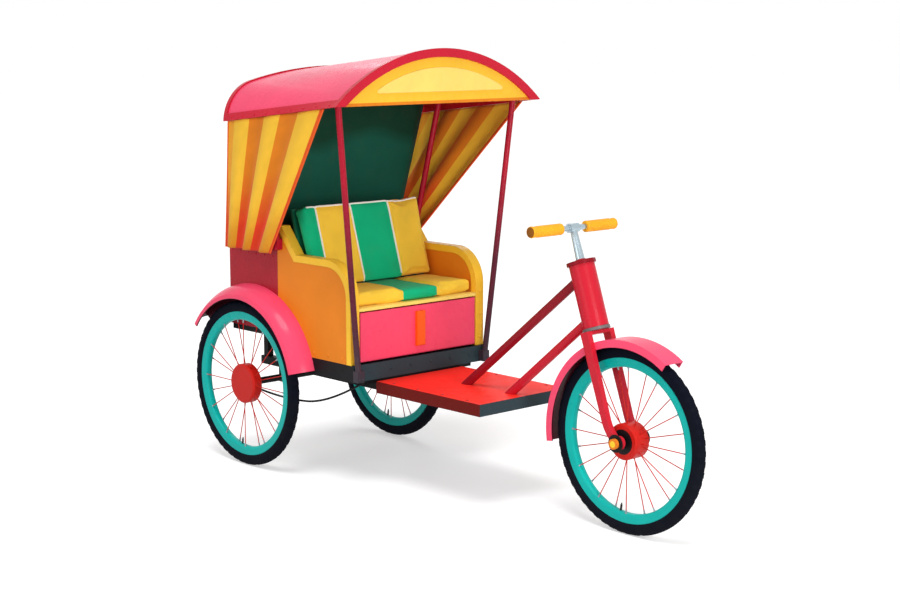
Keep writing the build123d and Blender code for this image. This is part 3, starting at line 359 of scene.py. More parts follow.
# Wheels: wire wheels with teal enamelled rims, black tyres and large red hubs, the front one a hub motor.
# The tyre is moulded rubber with a ribbed wall, a centre rib and blocks along both shoulders.
AXLE_AHEAD = 0.921
AXLE_HEIGHT = 0.360
HALF_TRACK = 0.419
FRONT_AXLE = Vector((AXLE_AHEAD, 0.0, AXLE_HEIGHT))
REAR_AXLE = Vector((-AXLE_AHEAD, 0.0, AXLE_HEIGHT))
WHEELS = (
    ("right", REAR_AXLE - Vector((0.0, HALF_TRACK, 0.0))),
    ("left", REAR_AXLE + Vector((0.0, HALF_TRACK, 0.0))),
    ("front", FRONT_AXLE),
)
TYRE_STEPS = 108
TYRE_HALF_SECTION = (
    # across, radius from the bead to the crown
    (0.0168, 0.3152),
    (0.0205, 0.3190),
    (0.0222, 0.3250),
    (0.0216, 0.3262),
    (0.0229, 0.3300),
    (0.0223, 0.3312),
    (0.0226, 0.3370),
    (0.0206, 0.3450),
    (0.0170, 0.3517),
    (0.0110, 0.3563),
    (0.0048, 0.3583),
)
TREAD_CROWN = 0.3575
TREAD_SHOULDER = 0.3470
TREAD_RIB_STEPS = 6
TREAD_RISE = 0.0015
TREAD_EDGE = 0.0011
TYRE_BLACK = (10, 14, 26)
TYRE_SCUFF = (38, 40, 46)
RIM_TEAL = (0, 178, 169)
RIM_STEPS = 96
RIM_HALF_SECTION = (
    # across, radius from the outer bed to the inner edge
    (0.0000, 0.3100),
    (0.0125, 0.3110),
    (0.0148, 0.3149),
    (0.0170, 0.3144),
    (0.0172, 0.3070),
    (0.0160, 0.3010),
    (0.0165, 0.2900),
    (0.0150, 0.2825),
    (0.0100, 0.2788),
    (0.0000, 0.2778),
)
HUB_RED = (198, 28, 20)
WELD = 0.00002


def spin_round(shape, drawn, centre, axis, steps):
    turn = 2 * math.pi
    bmesh.ops.spin(shape, geom=drawn, cent=centre, axis=axis, angle=turn, steps=steps, use_merge=True)
    bmesh.ops.remove_doubles(shape, verts=shape.verts, dist=WELD)


def lathe(section, centre, steps, closed=False):
    shape = bmesh.new()
    ring = [shape.verts.new(centre + Vector((0.0, across, radius))) for across, radius in section]
    ends = ring[1:] + ring[:1] if closed else ring[1:]
    lines = [shape.edges.new(pair) for pair in zip(ring, ends)]
    spin_round(shape, ring + lines, centre, (0.0, 1.0, 0.0), steps)
    bmesh.ops.recalc_face_normals(shape, faces=shape.faces)
    return shape


def both_sides(half):
    return [(-across, radius) for across, radius in half] + [pair for pair in half[::-1] if pair[0] > 0]


def fit(shape, name, material, body, nodes=(), crease=35.0):
    mesh = bpy.data.meshes.new(name)
    shape.to_mesh(mesh)
    shape.free()
    mesh.materials.append(material)
    for face in mesh.polygons:
        face.use_smooth = True
    mesh.set_sharp_from_angle(angle=math.radians(crease))
    piece = bpy.data.objects.new(name, mesh)
    scene.collection.objects.link(piece)
    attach(piece, body)
    if nodes:
        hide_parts(*nodes)
    return piece


tyre_rubber = painted(
    "tyre_rubber", TYRE_BLACK, TYRE_SCUFF, wear=0.2, sheen=0.62, coat=0.0, shine=0.03, round_edge=0.001
)
rim_teal = painted("teal_rim", RIM_TEAL, wear=0.15, sheen=0.26, coat=0.05, round_edge=0.001)
hub_red = painted("hub_red", HUB_RED, wear=0.25, sheen=0.30, coat=0.04, round_edge=0.0015)
for wheel, centre in WHEELS:
    body = f"{wheel}_wheel"
    tyre = lathe(both_sides(TYRE_HALF_SECTION), centre, TYRE_STEPS, closed=True)
    blocks = []
    for face in tyre.faces:
        middle = face.calc_center_median() - centre
        radius = math.hypot(middle.x, middle.z)
        step = int((math.atan2(middle.z, middle.x) / (2 * math.pi) + 1.0) * TYRE_STEPS)
        raised = step % TREAD_RIB_STEPS if radius > TREAD_CROWN else (step + (middle.y > 0)) % 2
        if raised and radius > TREAD_SHOULDER:
            blocks.append(face)
    bmesh.ops.inset_individual(tyre, faces=blocks, thickness=TREAD_EDGE, depth=TREAD_RISE)
    fit(tyre, f"{wheel}_tyre_rubber", tyre_rubber, body, (f"{wheel}_tyre",), crease=25.0)
    rim = lathe(both_sides(RIM_HALF_SECTION), centre, RIM_STEPS, closed=True)
    fit(rim, f"{wheel}_rim_hoop", rim_teal, body, (f"{wheel}_rim",), crease=50.0)
    dress(hub_red, f"{wheel}_hub")

# Motor cover: the front hub is a hub motor, and each side of its casting is a flat cover inside a red rim.
# The cover is sprayed black on the same casting, so only its colour changes.
MOTOR_COVER = (14, 12, 16)
MOTOR_COVER_RADIUS = 0.048
MOTOR_SIDE = 0.034


def about_axle(tree, axle):
    place = add_node(tree, "ShaderNodeTexCoord").outputs["Object"]
    out = add_node(tree, "ShaderNodeVectorMath", {0: place, 1: axle}, operation="SUBTRACT").outputs[0]
    away = add_node(tree, "ShaderNodeSeparateXYZ", {0: out}).outputs
    flat = add_node(tree, "ShaderNodeCombineXYZ", {"X": away["X"], "Z": away["Z"]}).outputs[0]
    radius = add_node(tree, "ShaderNodeVectorMath", {0: flat}, operation="LENGTH").outputs["Value"]
    return radius, worked_out(tree, "ABSOLUTE", away["Y"])


def motor_colours(tree):
    radius, aside = about_axle(tree, FRONT_AXLE)
    cover = mixed(tree, past(tree, radius, MOTOR_COVER_RADIUS), paint(*MOTOR_COVER), paint(*HUB_RED))
    return mixed(tree, past(tree, aside, MOTOR_SIDE), paint(*HUB_RED), cover)


motor_paint = painted("motor_paint", motor_colours, wear=0.25, sheen=0.30, coat=0.04, round_edge=0.0015)
dress(motor_paint, "front_hub")

# Spoke nipples and valves: a plated nipple at the rim end of every spoke, and a rubber valve in each rim.
# The nipple is a short turned sleeve with a collar, screwed through the rim from outside.
SPOKES = 24
SPOKE_DISH = 0.011
NIPPLE_SECTION = (
    # radius, distance from the root
    (0.0, 0.0),
    (0.0030, 0.0),
    (0.0030, 0.010),
    (0.0042, 0.011),
    (0.0042, 0.0145),
    (0.0, 0.0145),
)
NIPPLE_ROOT = 0.2660
VALVE_SECTION = (
    # radius, distance from the root
    (0.0, 0.0),
    (0.0026, 0.0),
    (0.0026, 0.006),
    (0.0042, 0.007),
    (0.0042, 0.026),
    (0.0058, 0.030),
)
VALVE_ROOT = 0.2490
NIPPLE_STEEL = (150, 154, 160)


def turned(section, steps):
    shape = bmesh.new()
    ring = [shape.verts.new((radius, 0.0, root)) for radius, root in section]
    lines = [shape.edges.new(pair) for pair in zip(ring, ring[1:])]
    spin_round(shape, ring + lines, (0.0, 0.0, 0.0), (0.0, 0.0, 1.0), steps)
    bmesh.ops.holes_fill(shape, edges=shape.edges)
    bmesh.ops.recalc_face_normals(shape, faces=shape.faces)
    return shape


def gather(parts):
    whole = bmesh.new()
    for part, matrix in parts:
        copy = bpy.data.meshes.new("copy")
        part.to_mesh(copy)
        copy.transform(matrix)
        whole.from_mesh(copy)
        bpy.data.meshes.remove(copy)
    return whole


def on_rim(centre, turn, aside, radius):
    out = Matrix.Rotation(turn, 4, "Y") @ Matrix.Translation((0.0, aside, radius))
    return Matrix.Translation(centre) @ out


nipple_steel = painted(
    "nipple_steel", NIPPLE_STEEL, wear=0.1, sheen=0.28, coat=0.0, metal=1.0, round_edge=0.0005
)
nipple = turned(NIPPLE_SECTION, steps=8)
valve = turned(VALVE_SECTION, steps=10)
spoke_turn = 2 * math.pi / SPOKES
for wheel, centre in WHEELS:
    sleeves = []
    for number in range(SPOKES):
        dish = SPOKE_DISH if number % 2 else -SPOKE_DISH
        sleeves.append((nipple, on_rim(centre, number * spoke_turn, dish, NIPPLE_ROOT)))
    fit(gather(sleeves), f"{wheel}_nipples", nipple_steel, f"{wheel}_wheel")
    stem = [(valve, on_rim(centre, math.pi + spoke_turn / 2, 0.0, VALVE_ROOT))]
    fit(gather(stem), f"{wheel}_valve", cable_sheath, f"{wheel}_wheel")

# Head tube and frame tubes: a fat steel head tube brazed to two straight tubes that rise from the deck.
# All are sprayed red; the upper tube is painted darker as shade, and the rings of the bearing sit at the
# ends.
FRAME_RED = (200, 32, 50)
UPPER_TUBE_SHADE_RED = (144, 22, 36)
CAP_RED = (134, 14, 28)
RING_GREY = (112, 108, 108)
HEADSET_MIDDLE = 0.90


def place_on(tree, axis):
    place = add_node(tree, "ShaderNodeTexCoord").outputs["Object"]
    return add_node(tree, "ShaderNodeSeparateXYZ", {0: place}).outputs[axis]


def headset_colours(tree):
    upper = past(tree, place_on(tree, "Z"), HEADSET_MIDDLE)
    return mixed(tree, upper, paint(*RING_GREY), paint(*CAP_RED))


frame_red = painted("red_paint", FRAME_RED, wear=0.30, sheen=0.24, coat=0.06)
dress(frame_red, "head_tube", "lower_tube", "fork")
# The upper tube takes a darker copy of the frame red as painted shade.
dress(painted("upper_tube_shade_red", UPPER_TUBE_SHADE_RED, wear=0.30, sheen=0.26, coat=0.05), "upper_tube")
dress(painted("headset_paint", headset_colours, wear=0.35, sheen=0.30), "headset")

# Front axle: a bar through the fork ends with a black washer and a yellow cap on each side.
# The cap is pressed over the nut and has an orange ring around its rim.
WASHER_BLACK = (12, 12, 14)
CAP_YELLOW = (250, 206, 52)
CAP_ORANGE = (232, 126, 34)
CAP_FACE = 0.0795
CAP_RING = 0.0125


def axle_colours(tree):
    radius, aside = about_axle(tree, FRONT_AXLE)
    cap = mixed(tree, past(tree, radius, CAP_RING), paint(*CAP_YELLOW), paint(*CAP_ORANGE))
    return mixed(tree, past(tree, aside, CAP_FACE), paint(*WASHER_BLACK), cap)


dress(painted("axle_paint", axle_colours, wear=0.2, sheen=0.3, round_edge=0.002), "front_axle")

# Handlebar: a short straight bar clamped on a tapered stem, both of bright plated steel.
# Handling has dulled the plating unevenly. The hinge pins of the locker flap have the same plating.
BAR_STEEL = (176, 192, 200)
STEEL_DULL = (138, 146, 150)
bright_steel = painted("bright_steel", BAR_STEEL, STEEL_DULL, wear=0.5, sheen=0.22, coat=0.0, metal=0.85)
dress(bright_steel, "handlebar", "flap_pins")

# Grips: yellow moulded rubber sleeves pushed over the bar ends, closed by a brown end plug.
# Shallow rings are moulded round the sleeve, and both rims are rounded over.
GRIP_YELLOW = (246, 172, 42)
GRIP_BROWN = (140, 84, 24)
BAR_CENTRE = Vector((0.6206, 0.0, 1.1348))
GRIP_RADIUS = 0.0209
GRIP_INNER_END = (
    # distance from the bar's middle, radius
    (0.0660, 0.0112),
    (0.0660, 0.0190),
    (0.0690, 0.0219),
    (0.0740, 0.0224),
    (0.0790, 0.0219),
    (0.0810, GRIP_RADIUS),
    (0.0860, GRIP_RADIUS),
)
GRIP_OUTER_END = (
    (0.2100, GRIP_RADIUS),
    (0.2150, 0.0212),
    (0.2180, 0.0220),
    (0.2260, 0.0222),
    (0.2292, 0.0212),
    (0.2300, 0.0185),
    (0.2312, 0.0180),
    (0.2322, 0.0150),
    (0.2325, 0.0000),
)
GRIP_RING = (
    # distance from the ring's middle, rise
    (-0.00368, 0.0),
    (-0.00230, 0.0012),
    (0.00230, 0.0012),
    (0.00368, 0.0),
)
GRIP_RING_PITCH = 0.0115
GRIP_PLUG = 0.2296
GRIP_STEPS = 40


def grip_colours(tree):
    aside = worked_out(tree, "ABSOLUTE", place_on(tree, "Y"))
    return mixed(tree, past(tree, aside, GRIP_PLUG), paint(*GRIP_YELLOW), paint(*GRIP_BROWN))


grip_section = list(GRIP_INNER_END)
ring_middle = GRIP_INNER_END[-1][0] + GRIP_RING_PITCH / 2
while ring_middle < GRIP_OUTER_END[0][0] - GRIP_RING_PITCH / 2:
    grip_section += [(ring_middle + out, GRIP_RADIUS + rise) for out, rise in GRIP_RING]
    ring_middle += GRIP_RING_PITCH
grip_section += GRIP_OUTER_END
grip_rubber = painted(
    "grip_rubber", grip_colours, GRIP_BROWN, wear=0.2, sheen=0.45, coat=0.01, round_edge=0.0008
)
for side, sign in SIDES:
    sleeve = lathe([(sign * out, radius) for out, radius in grip_section], BAR_CENTRE, GRIP_STEPS)
    covers = ("grips",) if side == "right" else ()
    fit(sleeve, f"{side}_grip", grip_rubber, "steering", covers, crease=40.0)

# Mudguards: pressed steel sheet in pink enamel; the undersides are painted dark maroon as shade.
# The front one is a narrow channel between the fork blades, the rear ones stand out over the wheels.
MUDGUARD_PINK = (246, 76, 112)
UNDERSIDE_SHADE_MAROON = (72, 14, 30)
UNDERSIDE_LEAN = 0.02


# Painted shade: faces turned towards the axle take the maroon, under the mudguard.
def mudguard_colours(axle):
    def colours(tree):
        coords = add_node(tree, "ShaderNodeTexCoord").outputs
        run = {0: axle, 1: coords["Object"]}
        inward = add_node(tree, "ShaderNodeVectorMath", run, operation="SUBTRACT").outputs[0]
        upright = {0: inward, 1: (1, 0, 1)}
        flat = add_node(tree, "ShaderNodeVectorMath", upright, operation="MULTIPLY").outputs[0]
        inside = past(tree, lined_up(tree, flat, coords["Normal"]), UNDERSIDE_LEAN)
        return mixed(tree, inside, paint(*MUDGUARD_PINK), paint(*UNDERSIDE_SHADE_MAROON))

    return colours


front_pink = painted("front_mudguard_pink", mudguard_colours(FRONT_AXLE), wear=0.25, sheen=0.2, coat=0.08)
rear_pink = painted("rear_mudguard_pink", mudguard_colours(REAR_AXLE), wear=0.25, sheen=0.2, coat=0.08)
dress(front_pink, "front_fender")
dress(rear_pink, "rear_fenders")

# Mudguard lip: a bead of folded sheet, welded along the outer edge of each rear mudguard.
# It takes the pink enamel outside and the maroon painted shade inside, and its edges are rounded.
LIP_SPAN = (14.5, 144.5)
LIP_STEPS = 44
LIP_SECTION = (
    # across from the middle of the machine, radius from the axle
    (0.4600, 0.3740),
    (0.4618, 0.3722),
    (0.4650, 0.3722),
    (0.4668, 0.3740),
    (0.4668, 0.3900),
    (0.4656, 0.3918),
    (0.4626, 0.3924),
    (0.4604, 0.3900),
)


def outward(turn):
    return Vector((math.cos(math.radians(turn)), 0.0, math.sin(math.radians(turn))))


def bent_strip(section, sign, span, steps):
    strip = bmesh.new()
    corners = [outward(span[0]) * radius + Vector((0.0, sign * across, 0.0)) for across, radius in section]
    end = strip.faces.new([strip.verts.new(REAR_AXLE + corner) for corner in corners])
    bend = math.radians(span[1] - span[0])
    bmesh.ops.spin(strip, geom=[end], cent=REAR_AXLE, axis=(0.0, -1.0, 0.0), angle=bend, steps=steps)
    bmesh.ops.recalc_face_normals(strip, faces=strip.faces)
    return strip


for side, sign in SIDES:
    lip = bent_strip(LIP_SECTION, sign, LIP_SPAN, LIP_STEPS)
    fit(lip, f"{side}_mudguard_lip", rear_pink, "chassis")

# Splash plate: a dark sheet that closes the rear half of each rear mudguard on the side of the body.
# It is cut to the curve of the mudguard and welded along its inner edge. Its dark maroon is the painted
# shade of the mudguard undersides.
PLATE_SPAN = (70.0, 144.5)
PLATE_STEPS = 26
PLATE_SECTION = (
    # across from the middle of the machine, radius from the axle
    (0.3722, 0.3260),
    (0.3740, 0.3260),
    (0.3740, 0.4285),
    (0.3722, 0.4285),
)
# The plate takes the maroon painted shade of the mudguard undersides.
plate_shade_paint = painted("plate_shade_paint", UNDERSIDE_SHADE_MAROON, wear=0.1, sheen=0.5, coat=0.0, round_edge=0.001)
for side, sign in SIDES:
    plate = bent_strip(PLATE_SECTION, sign, PLATE_SPAN, PLATE_STEPS)
    fit(plate, f"{side}_splash_plate", plate_shade_paint, "chassis")

# Seat box: plywood walls painted orange inside and out, with a bent yellow edging along the arms and wings.
# It stands on a slate plinth whose other faces are painted near black as shade; the seat boards are plywood
# with pale painted edges.
PLINTH_SHADE_BLACK = (16, 18, 22)
WALL_ORANGE = (234, 134, 32)
EDGING_YELLOW = (254, 200, 58)
BOARD_YELLOW = (255, 222, 112)
BACK_BOARD_GREEN = (18, 96, 72)


# Painted shade: only the front face is slate, and the other faces take near black.
def plinth_colours(tree):
    return mixed(tree, facing(tree, (1, 0, 0)), paint(*PLINTH_SHADE_BLACK), paint(*SLATE))


dress(painted("slate_paint", plinth_colours, wear=0.30, sheen=0.40, coat=0.01), "plinth")
dress(painted("orange_paint", WALL_ORANGE, wear=0.2, sheen=0.34, coat=0.03), "side_walls")
edging_yellow = painted("yellow_paint", EDGING_YELLOW, wear=0.3, sheen=0.28, coat=0.05, round_edge=0.006)
dress(edging_yellow, "side_trims")
dress(painted("board_paint", BOARD_YELLOW, wear=0.3, sheen=0.38, coat=0.02), "seat_board")
dress(painted("back_board_paint", BACK_BOARD_GREEN, wear=0.3, sheen=0.42, coat=0.02), "back_board")

# Locker flap: a plywood flap in pink enamel that drops forward on two hinge pins, with an orange handle.
# The battery box behind it is a plain moulded case.
FLAP_PINK = (246, 76, 110)
HANDLE_ORANGE = (246, 96, 22)
BATTERY_GREY = (52, 56, 60)
dress(painted("flap_pink", FLAP_PINK, wear=0.3, sheen=0.26, coat=0.05), "seat_flap")
handle_orange = painted("handle_paint", HANDLE_ORANGE, wear=0.3, sheen=0.28, coat=0.04, round_edge=0.004)
dress(handle_orange, "flap_handle")
dress(painted("battery_case", BATTERY_GREY, wear=0.1, sheen=0.5, coat=0.0), "battery")

# Rear box: a folded sheet steel trunk with a flat lid, sprayed dark red.
# It hangs behind the seat on the black box frame.
TRUNK_RED = (170, 30, 46)
trunk_red = painted("trunk_red", TRUNK_RED, wear=0.3, sheen=0.28, coat=0.04)
dress(trunk_red, "rear_box", "box_top")

# Canopy: an arched roof of moulded sheet, pink outside and dark red below, edged with a red band.
# It stands on two rails and four red poles, the front ones painted brown then slate at the foot as shade;
# the gable has a raised panel.
ROOF_PINK = (247, 80, 116)
ROOF_LINING = (186, 26, 34)
BAND_RED = (206, 33, 55)
POLE_RED = (178, 24, 48)
POLE_SHADE_BROWN = (92, 30, 48)
POLE_SHADE_SLATE = (58, 54, 62)
POLE_DARKEST_SHADE_SPAN = (0.46, 0.80)
POLE_SHADE_FADE_SPAN = (0.90, 1.28)
GABLE_YELLOW = (254, 197, 57)
# A painted highlight: the pale yellow of the gable's raised panel.
GABLE_HIGHLIGHT_PALE = (252, 220, 114)
GABLE_FOOT = (233, 133, 31)
GABLE_FOOT_LEVEL = 1.594
LENS_FACE = -0.1195


def roof_colours(tree):
    return mixed(tree, facing(tree, (0, 0, 1), 0.0), paint(*ROOF_LINING), paint(*ROOF_PINK))


# The raised panel, ahead of LENS_FACE, takes the pale yellow as a painted highlight.
def gable_highlight_colours(tree):
    upper = past(tree, place_on(tree, "Z"), GABLE_FOOT_LEVEL)
    body = mixed(tree, upper, paint(*GABLE_FOOT), paint(*GABLE_YELLOW))
    return mixed(tree, past(tree, place_on(tree, "X"), LENS_FACE), body, paint(*GABLE_HIGHLIGHT_PALE))


# Painted shade: the front poles darken from red to brown and then to slate towards the foot.
def pole_shade_colours(tree):
    height = place_on(tree, "Z")
    low = mixed(tree, spread(tree, height, *POLE_DARKEST_SHADE_SPAN), paint(*POLE_SHADE_SLATE), paint(*POLE_SHADE_BROWN))
    return mixed(tree, spread(tree, height, *POLE_SHADE_FADE_SPAN), low, paint(*POLE_RED))


dress(painted("roof_paint", roof_colours, wear=0.15, sheen=0.24, coat=0.08), "roof")
dress(painted("band_red", BAND_RED, wear=0.2, sheen=0.26, coat=0.05), "roof_trim")
dress(painted("gable_highlight_paint", gable_highlight_colours, wear=0.15, sheen=0.26, coat=0.05), "gable")
dress(painted("pole_red", POLE_RED, wear=0.3, sheen=0.26, coat=0.04), "rear_poles", "roof_rails")
dress(painted("front_pole_shade_paint", pole_shade_colours, wear=0.3, sheen=0.26, coat=0.04), "front_poles")

# Fasteners: domed rivets along the roof band and trunk, round-head screws in the body, pole shoes and deck.
# All are pressed or driven tight against the piece they hold and painted over with it.
# Sections are radius and height over the skin.
RIVET_SECTION = ((0.0048, -0.0010), (0.0048, 0.0006), (0.0040, 0.0018), (0.0022, 0.0026), (0.0, 0.0029))
SCREW_SECTION = ((0.0062, -0.0010), (0.0062, 0.0010), (0.0050, 0.0024), (0.0026, 0.0031), (0.0, 0.0032))
FASTENER_REACH = 0.25
FASTENER_STEPS = 8
FASTENER_ROWS = (
    # head, node, first place, last place, heading in, count, on both sides
    ("rivet", "roof_trim", (-0.80, -0.562, 1.518), (-0.16, -0.562, 1.589), (0, 1, 0), 9, True),
    ("screw", "side_walls", (-0.60, -0.370, 0.545), (-0.32, -0.370, 0.545), (0, 1, 0), 4, True),
    ("screw", "side_trims", (-0.26, -0.351, 0.560), (-0.26, -0.351, 0.760), (-1, 0, 0), 3, True),
    ("screw", "plinth", (-0.25, -0.280, 0.490), (-0.25, 0.280, 0.490), (-1, 0, 0), 6, False),
    ("rivet", "rear_box", (-1.075, -0.370, 0.925), (-0.785, -0.370, 0.925), (0, 1, 0), 6, True),
    ("rivet", "rear_box", (-1.097, -0.330, 0.925), (-1.097, 0.330, 0.925), (1, 0, 0), 8, False),
    ("screw", "deck", (-0.17, -0.222, 0.442), (0.27, -0.222, 0.442), (0, 0, -1), 4, True),
    ("screw", "front_poles", (-0.22, -0.3605, 0.466), (-0.22, -0.3435, 0.466), (-1, 0, 0), 2, True),
)
heads = {"rivet": turned(RIVET_SECTION, FASTENER_STEPS), "screw": turned(SCREW_SECTION, FASTENER_STEPS)}
placed = {}
for head, node, first, last, heading, count, paired in FASTENER_ROWS:
    skin = BVHTree.FromObject(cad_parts[node], bpy.context.evaluated_depsgraph_get())
    for sign in (1, -1) if paired else (1,):
        mirror = Vector((1, sign, 1))
        inward = Vector(heading) * mirror
        for number in range(count):
            spot = Vector(first).lerp(Vector(last), number / (count - 1)) * mirror
            place, normal = skin.ray_cast(spot - inward * FASTENER_REACH, inward)[:2]
            if place is not None:
                stand = Matrix.Translation(place) @ normal.to_track_quat("Z", "Y").to_matrix().to_4x4()
                placed.setdefault((node, head), []).append((heads[head], stand))
for (node, head), row in placed.items():
    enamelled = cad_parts[node].material_slots[0].material
    fit(gather(row), f"{node}_{head}s", enamelled, "chassis")

# Seat cushion: a foam slab in three sewn lengths of heavy cotton, yellow, green and yellow, on the board.
# It is stuffed firm, so each length crowns between its seams and the edges round over.
SEAT_BOX = (Vector((-0.5810, -0.3215, 0.7560)), Vector((-0.2800, 0.3215, 0.8040)))
SEAT_LIMITS = (Vector((-0.5830, -0.3255, 0.7542)), Vector((-0.2730, 0.3255, 0.8190)))
SEAT_UNDER_BACK = -0.5060
SEAT_PINCHED = 0.8068
SEAT_SEAMS = (-0.070, 0.120)
SEAT_EDGE = 0.011
COTTON_GREEN = (12, 188, 130)
COTTON_YELLOW = (255, 210, 66)
COTTON_SOIL = (120, 92, 60)
COTTON_SHEEN = 0.08
COTTON_SHINE = 0.10
COTTON_RELIEF = 0.35
COTTON_DEPTH = 0.0008
THREAD_PITCH = 0.0022
THREAD_TONES = (0.93, 1.03)
THREAD_RISE = 0.5
SLUB_GRAIN = 160.0
SLUB_SPREAD = (0.2, 0.8)
SLUB_ROUGHNESS = (0.72, 0.95)
SLUB_RISE = 0.6
FADE_GRAIN = 7.0
FADE_TONES = (0.95, 1.06)
SOIL_GRAIN = 11.0
SOIL_CUT = (0.52, 0.80)
STRIPE_SPAN = 0.70
VOXEL = 0.006
STUFFING_PRESSURE = 4.0
STUFFING_FRAMES = 20
STUFFING_CAP = 0.010
SEAM_REACH = 0.004
SEAM_DEPTH = 0.0042
SEAM_WIDTH = 0.0065
SEAT_UNDERSIDE_LEAN = -0.4

# Woven cotton: over-and-under threads along Y and along the slope, slubs, fading and a little soil.
cotton, given, cotton_out = effect_group(
    "woven_cotton",
    (
        ("Dye", "NodeSocketColor", (0.8, 0.6, 0.1, 1.0)),
        ("Place", "NodeSocketVector", (0.0, 0.0, 0.0)),
        ("Threads", "NodeSocketFloat", 1.0 / THREAD_PITCH),
        ("Soil", "NodeSocketFloat", 0.10),
    ),
)
parts = add_node(cotton, "ShaderNodeSeparateXYZ", {0: given["Place"]}).outputs
slope = worked_out(cotton, "SUBTRACT", parts["Z"], parts["X"])
threads = []
for run in (parts["Y"], slope):
    turns = times(cotton, times(cotton, run, given["Threads"]), 2 * math.pi)
    threads.append(worked_out(cotton, "SINE", turns))
weave = times(cotton, threads[0], threads[1])
slub = speckle(cotton, given["Place"], SLUB_GRAIN, detail=4.0)
fade = spread(cotton, speckle(cotton, given["Place"], FADE_GRAIN, detail=4.0), *NOISE_MIDDLE, *FADE_TONES)
thread_tone = times(cotton, fade, spread(cotton, weave, -1.0, 1.0, *THREAD_TONES))
dyed = add_node(cotton, "ShaderNodeHueSaturation", {"Value": thread_tone, "Color": given["Dye"]}).outputs[0]
patches = spread(cotton, speckle(cotton, given["Place"], SOIL_GRAIN, detail=6.0), *SOIL_CUT)
soiled = mixed(cotton, times(cotton, patches, given["Soil"]), dyed, paint(*COTTON_SOIL))
cotton.links.new(soiled, cotton_out.inputs["Colour"])
cotton.links.new(spread(cotton, slub, *SLUB_SPREAD, *SLUB_ROUGHNESS), cotton_out.inputs["Roughness"])
cloth_relief = plus(cotton, times(cotton, weave, THREAD_RISE), times(cotton, slub, SLUB_RISE))
bump = {"Strength": COTTON_RELIEF, "Distance": COTTON_DEPTH, "Height": cloth_relief}
cotton.links.new(add_node(cotton, "ShaderNodeBump", bump).outputs[0], cotton_out.inputs["Normal"])


def banded(tree, value, stripes):
    ramp = add_node(tree, "ShaderNodeValToRGB", {0: value})
    ramp.color_ramp.interpolation = "CONSTANT"
    stops = ramp.color_ramp.elements
    while len(stops) < len(stripes):
        stops.new(1.0)
    for stop, (start, colour) in zip(stops, stripes):
        stop.position = start
        stop.color = paint(*colour)
    return ramp.outputs[0]


def cloth_of(name, colours, threads=1.0 / THREAD_PITCH, soil=0.10, mapped=False):
    material = new_material(name, {"Sheen Weight": COTTON_SHEEN, "Specular IOR Level": COTTON_SHINE})
    tree = material.node_tree
    place = add_node(tree, "ShaderNodeTexCoord").outputs["UV" if mapped else "Object"]
    dye = colours(tree) if callable(colours) else paint(*colours)
    lay_on(tree, cotton, {"Dye": dye, "Place": place, "Threads": threads, "Soil": soil})
    return material


def across_stripes(stripes):
    def colours(tree):
        share = spread(tree, place_on(tree, "Y"), -STRIPE_SPAN / 2, STRIPE_SPAN / 2)
        shares = [(max(0.0, start / STRIPE_SPAN + 0.5), colour) for start, colour in stripes]
        return banded(tree, share, shares)

    return colours


def stuffed(shape, name, material, nodes, seams, front, limit):
    piece = fit(shape, name, material, "chassis", nodes, crease=180.0)
    bpy.context.view_layer.objects.active = piece
    skin = piece.modifiers.new("skin", "REMESH")
    skin.mode = "VOXEL"
    skin.voxel_size = VOXEL
    bpy.ops.object.modifier_apply(modifier="skin")
    mesh = piece.data
    sewn = piece.vertex_groups.new(name="sewn")
    held = [
        vertex.index
        for vertex in mesh.vertices
        if front(vertex) and any(abs(vertex.co.y - seam) < SEAM_REACH for seam in seams)
    ]
    sewn.add(held, 1.0, "REPLACE")
    before = [vertex.co.copy() for vertex in mesh.vertices]
    cloth = piece.modifiers.new("stuffing", "CLOTH")
    cloth.settings.use_pressure = True
    cloth.settings.uniform_pressure_force = STUFFING_PRESSURE
    cloth.settings.effector_weights.gravity = 0.0
    cloth.settings.vertex_group_mass = "sewn"
    for step in range(1, STUFFING_FRAMES + 1):
        scene.frame_set(step)
    swollen = piece.evaluated_get(bpy.context.evaluated_depsgraph_get()).to_mesh()
    after = [vertex.co.copy() for vertex in swollen.vertices]
    piece.modifiers.remove(cloth)
    scene.frame_set(1)
    for vertex, start, end in zip(mesh.vertices, before, after):
        move = end - start
        vertex.co = start + move * min(1.0, STUFFING_CAP / max(move.length, 1e-9))
    mesh.update()
    grooves = []
    for vertex in mesh.vertices:
        near = min(abs(vertex.co.y - seam) for seam in seams)
        sink = SEAM_DEPTH * math.exp(-((near / SEAM_WIDTH) ** 2)) if front(vertex) else 0.0
        grooves.append(vertex.co - vertex.normal * sink)
    for vertex, place in zip(mesh.vertices, grooves):
        vertex.co = limit(place)
    for face in mesh.polygons:
        face.use_smooth = True
    piece.vertex_groups.clear()
    smooth = piece.modifiers.new("smooth", "SUBSURF")
    smooth.levels = 1
    smooth.render_levels = 1
    return piece


def seat_front(vertex):
    return vertex.normal.z > SEAT_UNDERSIDE_LEAN


def seat_limit(place):
    low, high = SEAT_LIMITS
    top = SEAT_PINCHED if place.x < SEAT_UNDER_BACK else high.z
    kept = [min(max(part, least), most) for part, least, most in zip(place, low, (high.x, high.y, top))]
    return Vector(kept)


def round_edges(shape, radius, segments):
    bmesh.ops.bevel(
        shape, geom=shape.edges, offset=radius, segments=segments, profile=0.5, affect="EDGES", material=-1
    )


